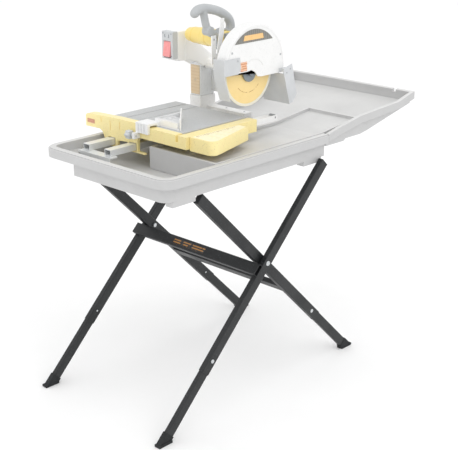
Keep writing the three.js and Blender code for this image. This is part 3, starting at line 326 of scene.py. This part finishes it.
# Each slot's finish, and a few further finishes for single pieces of a slot.
FINISH = {
    "black_steel": painted_metal("powder_black", ink("16181a"), 0.46, "3c4043", 0.6, peel=520, spread=0.12,
                                 coat=0.08),
    "foot_rubber": soft_rubber("foot_rubber_black", ink("1d1f21"), 0.8, (1, 1, 1), 300),
    "bolt_steel": bright_metal("zinc_plate", ink("cfd2d4"), 0.25, (1, 1, 1), 260),
    # The tub's upward faces are lightened in patches: painted top light, broken up like settled powder.
    "tub_plastic": moulded_plastic("tub_grey", GREY, 0.5, 700, 0.00022, 1.16, 0.04, top_light_and_dust=ink("d6d6d5")),
    "rail_aluminium": bright_metal("rail_bright", ink("e9ebec"), 0.34, metal=0.5),
    "base_casting": painted_metal("casting_pale", ink("e8e8e8"), 0.45, chips=0.2, peel=300, depth=0.0003),
    "column_casting": painted_metal("casting_grey", ink("dcdee0"), 0.48, chips=0.25, peel=260, depth=0.0003),
    "column_label": printed_label("column_print", ink("dfc7a4"), ink("d8bd96"), 0.013, share=0.55),
    "cart_yellow": painted_metal("cart_yellow_paint", YELLOW, 0.38, "c9b98c", 0.45, peel=380, spread=0.04),
    "mat_rubber": ribbed_mat("mat_grey", ink("c6c8c9")),
    "extension_mat": moulded_plastic("extension_cream", ink("fff3cf"), 0.6, 600, 0.0002, 1.05, 0.03),
    "white_casting": painted_metal("casting_white", WHITE, 0.36, "b9bcbe", 0.2, peel=240, depth=0.00018,
                                   spread=0.02, marks=0.1),
    # The arm and the case fins take a lighter copy of the white casting paint: painted light on faces turned
    # away from the lamps.
    "arm_white_painted_light": painted_metal("arm_white_painted_light_paint", ink("fbfbfa"), 0.4, "cfd1d2", 0.2, peel=240, depth=0.0002,
                               spread=0.01, marks=0.1),
    # The gear case takes a dark grey copy of the handle plastic: painted shade where the case lies behind the
    # handle and flaps.
    "case_painted_shade": moulded_plastic("case_painted_shade_grey", ink("8b8e91"), 0.55, 620, 0.0003, 1.3, 0.1),
    "roller_rubber": soft_rubber("roller_grey", ink("8f9294"), 0.7, (0.1, 1, 1), 320),
    "guide_aluminium": bright_metal("guide_bright", ink("f6f7f8"), 0.4, (0.05, 1, 1), 420, metal=0.25),
    "dark_plastic": moulded_plastic("handle_grey", ink("bcbfc1"), 0.55, 620, 0.0003, 1.3, 0.08),
    "motor_yellow": moulded_plastic("motor_yellow_shell", ink("ffdf86"), 0.36, 520, 0.00018, 1.08, 0.05, 0.3),
    "switch_red": moulded_plastic("paddle_red", ink("ea9494"), 0.42, 800, 0.00012, 1.25, 0.06, 0.2),
    "badge": printed_label("badge_dark", ink("86857f"), ink("6f6e69"), 0.011, axis=1, share=0.5),
    "label_orange": printed_label("label_orange_print", ink("f2c4a0"), ink("c9764a"), 0.0085, share=0.45),
    "flap_rubber": soft_rubber("flap_grey", ink("c2c4c6")),
    "flange_steel": bright_metal("flange_dark", ink("8f969b"), 0.4, (1, 1, 1), 700),
}

# ---------- making pieces ----------

WELD = 0.00001
FLAT_ANGLE = math.radians(0.6)
CORNER_ANGLE = math.radians(28)  # an outward edge that turns further than this is rounded


def merged_copy(node):
    """A copy of a CAD node with its corners joined and its flat faces made whole."""
    bm = bmesh.new()
    bm.from_mesh(frame["nodes"][node].data)
    bmesh.ops.remove_doubles(bm, verts=bm.verts, dist=WELD)
    bmesh.ops.dissolve_limit(bm, angle_limit=FLAT_ANGLE, verts=bm.verts, edges=bm.edges)
    return bm


def soften(bm, width, segments=2, chosen=None):
    """Rounds the outward edges, and marks the new faces so that the finish can show wear and a painted
    highlight there.
    """
    worn = bm.faces.layers.float.get("edge") or bm.faces.layers.float.new("edge")
    edges = [e for e in bm.edges if len(e.link_faces) == 2 and e.calc_face_angle_signed(0) > CORNER_ANGLE
             and (chosen is None or chosen(e))]
    if not edges:
        return
    before = set(bm.faces)
    bmesh.ops.bevel(bm, geom=edges, offset=width * MM, offset_type="OFFSET", segments=segments, profile=0.5,
                    affect="EDGES", clamp_overlap=True)
    for face in bm.faces:
        if face not in before:
            face[worn] = 1.0


def plain_mesh(obj):
    """What the modifiers make of an object, as a mesh of its own."""
    depsgraph = bpy.context.evaluated_depsgraph_get()
    return bpy.data.meshes.new_from_object(obj.evaluated_get(depsgraph), depsgraph=depsgraph)


def linked(name, mesh):
    obj = bpy.data.objects.new(name, mesh)
    bpy.context.scene.collection.objects.link(obj)
    return obj


def place(name, mesh, finish, body, stands_for=(), sharp=38):
    """Shades a finished mesh, gives it its finish and lets it ride on its body."""
    mesh.shade_smooth()
    mesh.set_sharp_from_angle(angle=math.radians(sharp))
    working = linked(name + "_work", mesh)
    weigh = working.modifiers.new("weigh", "WEIGHTED_NORMAL")
    weigh.keep_sharp = True
    final = plain_mesh(working)
    bpy.data.objects.remove(working)
    final.name = name
    final.materials.clear()
    final.materials.append(finish)
    obj = linked(name, final)
    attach(obj, body)
    if stands_for:
        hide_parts(*stands_for)
    return obj


def mesh_of(bm, name):
    mesh = bpy.data.meshes.new(name)
    bm.to_mesh(mesh)
    bm.free()
    return mesh


def rounded_node(node, slot, width=0.8, segments=2, extra=(), finish=None):
    """A CAD node with rounded edges. extra holds wider roundings for chosen edges, done first."""
    bm = merged_copy(node)
    for wide, count, chosen in extra:
        soften(bm, wide, count, chosen)
    soften(bm, width, segments)
    return place(node + "_finished", mesh_of(bm, node), FINISH[finish or slot], BODY_OF[node], (node,))


def cast_node(node, slot, voxel, rounds, finish=None):
    """A CAD node with its corners melted together, as a casting or a soft moulding has them."""
    bm = merged_copy(node)
    bmesh.ops.triangulate(bm, faces=bm.faces)
    work = linked(node + "_work", mesh_of(bm, node))
    remesh = work.modifiers.new("remesh", "REMESH")
    remesh.mode = "VOXEL"
    remesh.voxel_size = voxel * MM
    smooth = work.modifiers.new("smooth", "SMOOTH")
    smooth.iterations = rounds
    smooth.factor = 0.5
    mesh = plain_mesh(work)
    bpy.data.objects.remove(work)
    return place(node + "_finished", mesh, FINISH[finish or slot], BODY_OF[node], (node,), sharp=70)


def box_mesh(name, low, high, width=0.6, segments=2):
    """A block between two corners, with rounded edges."""
    bm = bmesh.new()
    bmesh.ops.create_cube(bm, size=1.0)
    size = Vector(high) - Vector(low)
    centre = (Vector(high) + Vector(low)) / 2
    bmesh.ops.transform(bm, matrix=Matrix.Translation(centre) @ Matrix.Diagonal((*size, 1.0)), verts=bm.verts)
    soften(bm, width, segments)
    return mesh_of(bm, name)


def slab_mesh(name, outline, x0, x1, width=0.5, segments=2):
    """A plate across X from an outline of (y, z), in metres, with rounded edges."""
    bm = bmesh.new()
    back = [bm.verts.new((x0, y, z)) for y, z in outline]
    face = bm.faces.new(back)
    grown = bmesh.ops.extrude_face_region(bm, geom=[face])
    moved = [v for v in grown["geom"] if isinstance(v, bmesh.types.BMVert)]
    bmesh.ops.translate(bm, vec=(x1 - x0, 0, 0), verts=moved)
    bmesh.ops.recalc_face_normals(bm, faces=bm.faces)
    soften(bm, width, segments)
    return mesh_of(bm, name)


def turned_mesh(name, profile, sides, spot=(0, 0, 0), along="Z"):
    """A shape turned about an axis, from (radius, height) pairs that start and end on the axis."""
    bm = bmesh.new()
    rings = []
    for radius, height in profile:
        if radius < 1e-7:
            rings.append([bm.verts.new((0, 0, height))])
            continue
        angles = [2 * math.pi * i / sides for i in range(sides)]
        rings.append([bm.verts.new((radius * math.cos(a), radius * math.sin(a), height)) for a in angles])
    for low, high in zip(rings, rings[1:]):
        for i in range(sides):
            j = (i + 1) % sides
            corners = [low[i % len(low)], low[j % len(low)], high[j % len(high)], high[i % len(high)]]
            unique = list(dict.fromkeys(corners))
            if len(unique) > 2:
                bm.faces.new(unique)
    bmesh.ops.recalc_face_normals(bm, faces=bm.faces)
    turn = Matrix.Rotation(math.radians(90), 4, "Y") if along == "X" else Matrix.Identity(4)
    bmesh.ops.transform(bm, matrix=Matrix.Translation(spot) @ turn, verts=bm.verts)
    return mesh_of(bm, name)


# ---------- repeated pieces ----------

def repeat_tree():
    """A node tree that puts a pattern on every point, facing the point's own direction."""
    tree = bpy.data.node_groups.new("pattern_on_points", "GeometryNodeTree")
    inputs = {"Geometry": "Geometry", "Pattern": "Object", "Size": "Float", "Turn spread": "Float",
              "Seed": "Int", "Finish": "Material"}
    for name, kind in inputs.items():
        tree.interface.new_socket(name, in_out="INPUT", socket_type="NodeSocket" + kind)
    tree.interface.new_socket("Geometry", in_out="OUTPUT", socket_type="NodeSocketGeometry")
    nodes = Nodes(tree)
    given = {name: nodes.node("NodeGroupInput", name, {}) for name in inputs}
    points = nodes.node("GeometryNodeMeshToPoints", "Points", {"Mesh": given["Geometry"]})
    pattern = nodes.node("GeometryNodeObjectInfo", "Geometry", {"Object": given["Pattern"]})
    toward = nodes.node("GeometryNodeInputNamedAttribute", "Attribute", {"Name": "toward"},
                        data_type="FLOAT_VECTOR")
    aligned = nodes.node("FunctionNodeAlignRotationToVector", "Rotation", {"Vector": toward}, axis="Z")
    # a Random Value node's greatest float is its input 3, and its float is its output 1
    angle = nodes.node("FunctionNodeRandomValue", 1, {3: given["Turn spread"], "Seed": given["Seed"]},
                       data_type="FLOAT")
    spin = nodes.node("FunctionNodeAxisAngleToRotation", "Rotation", {"Angle": angle})
    turned = nodes.node("FunctionNodeRotateRotation", "Rotation", {"Rotation": aligned, "Rotate By": spin},
                        rotation_space="LOCAL")
    put = nodes.node("GeometryNodeInstanceOnPoints", "Instances",
                     {"Points": points, "Instance": pattern, "Rotation": turned, "Scale": given["Size"]})
    real = nodes.node("GeometryNodeRealizeInstances", "Geometry", {"Geometry": put})
    dressed = nodes.node("GeometryNodeSetMaterial", "Geometry",
                         {"Geometry": real, "Material": given["Finish"]})
    nodes.join(dressed, tree.nodes.new("NodeGroupOutput").inputs["Geometry"])
    return tree


REPEAT = repeat_tree()
SCREW_PROFILE = [(0, 0.5), (0.4, 0.5), (0.46, 1.0), (0.72, 0.92), (0.92, 0.62), (1.0, 0.28), (1.3, 0.24),
                 (1.34, 0.0), (0, 0.0)]
SCREW_HEIGHT = 0.62
FULL_TURN = 6.28
SPIN_SEED = 3
screw_mesh = turned_mesh("pattern_screw", [(r, h * SCREW_HEIGHT) for r, h in SCREW_PROFILE], 12)
PATTERNS = {
    "screw": linked("pattern_screw", screw_mesh),
    "tick": linked("pattern_tick", box_mesh("pattern_tick", (-0.5, -0.06, 0), (0.5, 0.06, 0.1), 15, 1)),
}


def repeated(name, pattern, spots, toward, size, slot, body, spread=FULL_TURN, finish=None):
    """The same pattern at each spot, in metres, as one plain mesh."""
    mesh = bpy.data.meshes.new(name + "_points")
    mesh.from_pydata([tuple(s) for s in spots], [], [])
    facing = mesh.attributes.new("toward", "FLOAT_VECTOR", "POINT")
    for i in range(len(spots)):
        facing.data[i].vector = toward
    work = linked(name + "_work", mesh)
    modifier = work.modifiers.new("repeat", "NODES")
    modifier.node_group = REPEAT
    values = {"Pattern": PATTERNS[pattern], "Size": size, "Turn spread": spread, "Seed": SPIN_SEED,
              "Finish": FINISH[finish or slot]}
    for item in REPEAT.interface.items_tree:
        if item.in_out == "INPUT" and item.name in values:
            modifier[item.identifier] = values[item.name]
    made = plain_mesh(work)
    bpy.data.objects.remove(work)
    return place(name, made, FINISH[finish or slot], body, sharp=30)


# ---------- the stand ----------

LONG = 0.1  # any edge past this length runs along its tube


def long_edge(e):
    return e.calc_length() > LONG


for side in ("left", "right"):
    for tube, corner in (("outer_leg_", 3.0), ("inner_leg_", 3.0), ("lower_leg_front_", 2.2),
                         ("lower_leg_rear_", 2.2)):
        rounded_node(tube + side, "black_steel", 0.4, 1, [(corner, 3, long_edge)])
    for end in ("front", "rear"):
        rounded_node(f"foot_{end}_{side}", "foot_rubber", 2.0, 3)
    for frame_name in ("outer", "inner"):
        rounded_node(f"leg_cap_{frame_name}_{side}", "foot_rubber", 1.2, 2)
        rounded_node(f"leg_bolt_{frame_name}_{side}", "bolt_steel", 0.4, 2)
    rounded_node(f"pivot_bolt_{side}", "bolt_steel", 0.6, 2)
rounded_node("front_crossbar", "black_steel", 0.4, 1, [(3.0, 3, long_edge)])
rounded_node("rear_crossbar", "black_steel", 0.4, 1, [(3.0, 3, long_edge)])

# ---------- tub and trays ----------

tub_low, tub_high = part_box("water_tub")
RIM_BAND = 0.0062
FLOOR_BAND = 0.019
UPRIGHT_RISE = 0.03


def tub_rim(e):
    return all(v.co.z > tub_high.z - RIM_BAND for v in e.verts)


def body_corner(e):
    upright = abs(e.verts[0].co.z - e.verts[1].co.z) > UPRIGHT_RISE
    return upright or all(v.co.z < tub_low.z + FLOOR_BAND for v in e.verts)


rounded_node("water_tub", "tub_plastic", 1.2, 2, [(4.0, 4, tub_rim), (7.0, 4, body_corner)])
rounded_node("rear_tray", "tub_plastic", 3.0, 3)
rounded_node("side_tray", "tub_plastic", 2.2, 3)

# ---------- rails, base and column ----------

for rail in ("rail_left", "rail_right"):
    rounded_node(rail, "rail_aluminium", 0.8, 2)
rounded_node("rail_front_bracket", "rail_aluminium", 0.8, 2)
rounded_node("column_base", "base_casting", 2.5, 3)
rounded_node("column", "column_casting", 2.0, 3)
rounded_node("column_plate", "column_label", 0.4, 1)

# ---------- cart ----------

rounded_node("cart_frame", "cart_yellow", 1.6, 3)
rounded_node("table_mat", "mat_rubber", 0.9, 2)
rounded_node("roller_bracket", "white_casting", 0.9, 2)
rounded_node("rear_roller", "roller_rubber", 1.2, 3)
rounded_node("front_bar", "cart_yellow", 2.4, 3)
rounded_node("side_extension", "cart_yellow", 1.6, 3)
rounded_node("extension_mat", "extension_mat", 0.8, 2)
rounded_node("guide_clamp", "guide_aluminium", 1.6, 3)
rounded_node("guide_knob", "dark_plastic", 1.4, 3)
rounded_node("guide_fence", "guide_aluminium", 0.9, 2)

# ---------- head ----------

# The arm takes the lighter copy of the white paint: painted light.
cast_node("head_arm", "white_casting", 2.6, 5, finish="arm_white_painted_light")
cast_node("handle", "dark_plastic", 2.2, 8)
rounded_node("hinge_pin", "dark_plastic", 1.2, 3)
rounded_node("motor_housing", "motor_yellow", 1.0, 2)
rounded_node("switch_box", "dark_plastic", 3.2, 3)
rounded_node("switch_paddle", "switch_red", 1.2, 3)
# The gear case takes the dark grey copy: painted shade.
rounded_node("gear_case", "dark_plastic", 3.0, 3, finish="case_painted_shade")
# The case fins take the lighter copy of the white paint: painted light.
rounded_node("case_fin", "white_casting", 1.0, 2, finish="arm_white_painted_light")
rounded_node("guard_badge", "badge", 0.5, 1)
rounded_node("warning_plate", "label_orange", 0.4, 1)
rounded_node("flange_inner", "flange_steel", 1.0, 2)
rounded_node("flange_outer", "flange_steel", 1.6, 3)
rounded_node("spindle", "flange_steel", 1.0, 2)
rounded_node("front_flap", "flap_rubber", 1.2, 2)
rounded_node("rear_flap", "flap_rubber", 1.2, 2)

guard_low, guard_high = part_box("blade_guard")
GUARD_SIDE_BAND = 0.0042
GUARD_FOOT = 0.045


def guard_rim(e):
    outside = all(v.co.x > guard_high.x - GUARD_SIDE_BAND or v.co.x < guard_low.x + GUARD_SIDE_BAND
                  for v in e.verts)
    return outside and all(v.co.z > guard_low.z + GUARD_FOOT for v in e.verts)


rounded_node("blade_guard", "white_casting", 1.0, 2, [(3.2, 3, guard_rim)])

blade_low, blade_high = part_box("blade")
blade_centre = (blade_low + blade_high) / 2
blade_radius = (blade_high.z - blade_low.z) / 2
HALF_CORE = 0.001
BORE = 0.0083
RIM_DEEP = 0.0095
RIM_STEP = 0.0006
TIP_ROUND = 0.0004
half_rim = (blade_high.x - blade_low.x) / 2
rim_root = blade_radius - RIM_DEEP
FINISH["blade_core"] = blade_steel("blade_amber", blade_centre, rim_root)
profile = [(BORE, -HALF_CORE), (rim_root, -HALF_CORE), (rim_root + RIM_STEP, -half_rim),
           (blade_radius - TIP_ROUND, -half_rim), (blade_radius, -half_rim * 0.6),
           (blade_radius, half_rim * 0.6), (blade_radius - TIP_ROUND, half_rim),
           (rim_root + RIM_STEP, half_rim), (rim_root, HALF_CORE), (BORE, HALF_CORE), (BORE, -HALF_CORE)]
blade_mesh = turned_mesh("blade", profile, 160, blade_centre, "X")
place("blade_disc", blade_mesh, FINISH["blade_core"], BODY_OF["blade"], ("blade",), 30)

# ---------- small fittings ----------

LEFT, FRONT, UP, RIGHT = (-1, 0, 0), (0, -1, 0), (0, 0, 1), (1, 0, 0)
PROUD = 0.0002  # how far a fitting's back stands off the face that it lies on


def screws(name, spots, toward, size, body, slot="bolt_steel"):
    repeated(name, "screw", spots, toward, size * MM, slot, body)


white = FINISH["white_casting"]
fin_low, fin_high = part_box("case_fin")
fin_screws = [(fin_high.x, fin_low.y + 0.0115, fin_low.z + dz) for dz in (0.020, 0.092)]
screws("case_fin_screws", fin_screws, RIGHT, 3.0, "head")
guard_face = guard_high.x
badge_low, badge_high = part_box("guard_badge")
bar_middle = (badge_low.y + badge_high.y) / 2
BAR_CORNERS = [(-0.058, 0.008), (0.05, 0.008), (0.046, 0.027), (-0.052, 0.027)]
badge_bar = [(bar_middle + dy, badge_low.z + dz) for dy, dz in BAR_CORNERS]
FINISH["badge_amber"] = moulded_plastic("badge_bar_amber", ink("f0c483"), 0.4, 900, 0.0001, 1.1, 0.08, 0.3)
place("badge_bar", slab_mesh("badge_bar", badge_bar, badge_high.x + PROUD, badge_high.x + 0.001, 0.3, 1),
      FINISH["badge_amber"], "head")


def arc_band(name, centre, inner, outer, start, stop, x0, x1, finish, body, steps=28):
    """A raised curved band on a face across X."""
    turns = [math.radians(start + (stop - start) * i / steps) for i in range(steps + 1)]
    outline = [(centre.y + outer * math.cos(a), centre.z + outer * math.sin(a)) for a in turns]
    outline += [(centre.y + inner * math.cos(a), centre.z + inner * math.sin(a)) for a in reversed(turns)]
    place(name, slab_mesh(name, outline, x0, x1, 0.5, 2), finish, body)


GUARD_RADIUS = 0.160
GUARD_SCREW_RING = 0.141
HOOK_THICK, HOOK_WIDE, HOOK_HALF = 0.007, 0.005, 0.006
arc_band("arbor_swell", blade_centre, 0.052, 0.0555, 28, 142, guard_face + PROUD, guard_face + 0.0016, white,
         "head")
guard_centre = Vector((guard_face, (guard_low.y + guard_high.y) / 2, guard_high.z - GUARD_RADIUS))


def on_guard(radius, degrees, x=guard_face):
    """A spot on the guard, at a radius and an angle about its middle."""
    turn = math.radians(degrees)
    return Vector((x, guard_centre.y + radius * math.cos(turn), guard_centre.z + radius * math.sin(turn)))


arc_band("guard_bead", guard_centre, 0.1485, 0.1505, 4, 170, guard_face + PROUD, guard_face + 0.001, white,
         "head", 48)
screws("guard_screws", [on_guard(GUARD_SCREW_RING, degrees) for degrees in (12, 152)], RIGHT, 3.4, "head")
for i, degrees in enumerate((28, 10)):
    root = on_guard(GUARD_RADIUS + 0.0005, degrees, guard_face - 2 * HOOK_THICK)
    hook = box_mesh(f"guard_hook_{i}", root + Vector((0, 0, -HOOK_HALF)),
                    root + Vector((HOOK_THICK, HOOK_WIDE, HOOK_HALF)), 1)
    place(f"guard_hook_{i}", hook, white, "head")

flap_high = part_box("front_flap")[1]
screws("front_flap_screws", [(flap_high.x, flap_high.y - 0.018, flap_high.z - 0.011)], RIGHT, 3.2, "head")
rear_low, rear_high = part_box("rear_flap")
screws("rear_flap_screws", [(rear_high.x, rear_low.y + 0.018, rear_high.z - 0.03),
                            (rear_high.x, rear_low.y + 0.038, rear_high.z - 0.018)], RIGHT, 3.0, "head")

box_low, box_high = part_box("switch_box")
box_screws = [(box_low.x + dx, box_low.y, z) for dx in (0.006, 0.052)
              for z in (box_low.z + 0.012, box_high.z - 0.008)]
screws("switch_box_screws", box_screws, FRONT, 1.8, "head", "flange_steel")
pin_low, pin_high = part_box("hinge_pin")
hinge_centre = (pin_low + pin_high) / 2
pin_end = (pin_high.x, hinge_centre.y, hinge_centre.z)
CAP_PROFILE = [(0, -0.001), (0.0155, -0.001), (0.017, 0.002), (0.017, 0.009), (0.0145, 0.0125),
               (0.009, 0.0125), (0.0082, 0.0105), (0, 0.0105)]
DOT_PROFILE = [(0, 0.0108), (0.007, 0.0108), (0.006, 0.0125), (0, 0.013)]
for name, outline, sides, slot in (("hinge_cap", CAP_PROFILE, 28, "dark_plastic"),
                                   ("hinge_dot", DOT_PROFILE, 20, "switch_red")):
    place(name, turned_mesh(name, outline, sides, pin_end, "X"), FINISH[slot], BODY_OF["hinge_pin"])

motor_low, motor_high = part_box("motor_housing")
motor_centre = (motor_low + motor_high) / 2
motor_radius = (motor_high.z - motor_low.z) / 2
SEAM_ROOT, SEAM_CREST = 0.0016, 0.0012  # half widths of a seam at its root and its crest
for i, (dx, grow) in enumerate([(0.042, -0.0036), (0.118, 0.0004)]):
    root = motor_radius + grow - 0.002
    crest = motor_radius + grow + 0.0007
    seam = [(root, -SEAM_ROOT), (crest, -SEAM_CREST), (crest, SEAM_CREST), (root, SEAM_ROOT),
            (root, -SEAM_ROOT)]
    ring = turned_mesh(f"motor_seam_{i}", seam, 64, (motor_low.x + dx, motor_centre.y, motor_centre.z), "X")
    place(f"motor_seam_{i}", ring, FINISH["motor_yellow"], "head")

foot_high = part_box("column_base")[1]
foot_screws = [(foot_high.x - dx, foot_high.y - 0.022, foot_high.z - 0.046) for dx in (0.02, 0.12)]
screws("column_base_screws", foot_screws, UP, 4.0, "saw_base")
plate_low, plate_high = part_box("column_plate")
screws("column_plate_rivets", [(x, plate_low.y, z) for x in (plate_low.x + 0.004, plate_high.x - 0.004)
                               for z in (plate_low.z + 0.005, plate_high.z - 0.005)], FRONT, 1.3, "saw_base")

bar_low, bar_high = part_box("front_bar")
tag_low = (bar_low.x + 0.010, bar_low.y - 0.0012, bar_high.z - 0.042)
tag_high = (bar_low.x + 0.052, bar_low.y - PROUD, bar_high.z - 0.026)
FINISH["bar_tag"] = printed_label("bar_tag_rust", ink("dba184"), ink("c27f62"), 0.0065, share=0.5)
place("bar_tag", box_mesh("bar_tag", tag_low, tag_high, 0.3, 1), FINISH["bar_tag"], "cart")

knob_low, knob_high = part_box("guide_knob")
knob_centre = (knob_low + knob_high) / 2
screws("knob_screw", [(knob_low.x, knob_centre.y, knob_centre.z)], LEFT, 4.0, "guide_screw")

scale_low, scale_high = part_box("extension_mat")
TICK_STEP = 0.010
FINISH["scale_print"] = moulded_plastic("scale_print_brown", ink("b99a5e"), 0.6, 900, 0.0001, 1.1)
ticks = [(scale_low.x + 0.010, scale_low.y + 0.014 + TICK_STEP * i, scale_high.z) for i in range(20)]
long_ticks = [(x + 0.002, y, z) for x, y, z in ticks[::5]]
for name, spots, length in (("scale_ticks", ticks, 0.007), ("scale_long_ticks", long_ticks, 0.011)):
    repeated(name, "tick", spots, UP, length, "label_orange", "cart", 0.0, finish="scale_print")

cross_low, cross_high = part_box("front_crossbar")
FINISH["stand_print"] = printed_label("stand_print_orange", ink("1b1d1f"), ink("c98a3a"), 0.0072)
CROSSBAR_TILT = math.radians(45)
half_face = 0.0225 * math.cos(CROSSBAR_TILT)
MARK_SHARE = 0.47  # how far along the crossbar its mark lies, from the left
mark = box_mesh("stand_mark", (-0.085, -0.012, 0.0001), (0.085, 0.012, 0.0006), 0.2, 1)
face_middle = (cross_low.x * (1 - MARK_SHARE) + cross_high.x * MARK_SHARE, cross_low.y + half_face,
               cross_high.z - half_face)
mark.transform(Matrix.Translation(face_middle) @ Matrix.Rotation(CROSSBAR_TILT, 4, "X"))
place("stand_mark", mark, FINISH["stand_print"], BODY_OF["front_crossbar"])

# ---------- light, floor and camera ----------


def area_light(name, spot, target, size, power):
    data = bpy.data.lights.new(name, "AREA")
    data.shape = "DISK"
    data.size = size
    data.energy = power
    obj = linked(name, data)
    obj.location = spot
    obj.rotation_euler = (Vector(target) - Vector(spot)).to_track_quat("-Z", "Y").to_euler()


middle = (CAD_BOX[0] + CAD_BOX[1]) / 2
AREA_LIGHTS = {
    "key_light": {"spot": (3.6, -0.6, 3.4), "size": 2.4, "power": 14},
    "front_light": {"spot": (-1.2, -4.0, 2.6), "size": 2.6, "power": 12},
    "rear_light": {"spot": (-1.4, 3.2, 3.4), "size": 2.2, "power": 12},
}
for name, light in AREA_LIGHTS.items():
    area_light(name, target=middle, **light)
SUN_STRENGTH = 0.4
SUN_SPREAD = math.radians(60)
SUN_TURN = (math.radians(8), math.radians(24), 0)
sun = bpy.data.lights.new("ceiling_light", "SUN")
sun.energy = SUN_STRENGTH
sun.angle = SUN_SPREAD
linked("ceiling_light", sun).rotation_euler = SUN_TURN

ROOM_STRENGTH = 0.93  # what lights the object
BACKDROP_STRENGTH = 1.05  # what the camera sees past the floor
PURE_WHITE = (1.0, 1.0, 1.0, 1.0)
world = bpy.data.worlds.new("studio")
world.use_nodes = True
sky = Nodes(world.node_tree)
sky.tree.nodes.remove(sky.tree.nodes["Background"])
room, backdrop = (sky.node("ShaderNodeBackground", "Background", {"Color": PURE_WHITE, "Strength": strength})
                  for strength in (ROOM_STRENGTH, BACKDROP_STRENGTH))
seen = sky.node("ShaderNodeLightPath", "Is Camera Ray", {})
chosen = sky.node("ShaderNodeMixShader", "Shader", {0: seen, 1: room, 2: backdrop})
sky.join(chosen, sky.tree.nodes["World Output"].inputs["Surface"])
bpy.context.scene.world = world
bpy.context.scene.view_settings.view_transform = "Standard"

FLOOR_HALF = 60.0
floor_bm = bmesh.new()
bmesh.ops.create_grid(floor_bm, x_segments=1, y_segments=1, size=FLOOR_HALF)
floor = linked("floor", mesh_of(floor_bm, "floor"))
floor_paint = Paint("floor_pale")
floor_cloud = floor_paint.span(floor_paint.noise(1.4, 3), 0.3, 0.7)
floor.data.materials.append(floor_paint.finish(
    floor_paint.mix(floor_cloud, ink("fbfbfb"), ink("ffffff")), 0.9, floor_paint.noise(90, 3), 0.0002, 0.2))

CAMERA_SPOT = (2.79975, -2.92525, 1.9951)
CAMERA_DOWN = 19.54
CAMERA_HEADING = 43.81
CAMERA_ROLL = -0.11
CAMERA_LENS = 84.07
SENSOR_WIDTH = 36.0
camera_data = bpy.data.cameras.new("camera")
camera_data.sensor_width = SENSOR_WIDTH
camera_data.lens = CAMERA_LENS
camera = linked("camera", camera_data)
camera.location = CAMERA_SPOT
aim = (Matrix.Rotation(math.radians(CAMERA_HEADING), 4, "Z")
       @ Matrix.Rotation(math.radians(90 - CAMERA_DOWN), 4, "X")
       @ Matrix.Rotation(math.radians(CAMERA_ROLL), 4, "Z"))
camera.rotation_euler = aim.to_euler()
bpy.context.scene.camera = camera

for pattern in PATTERNS.values():
    bpy.data.objects.remove(pattern)
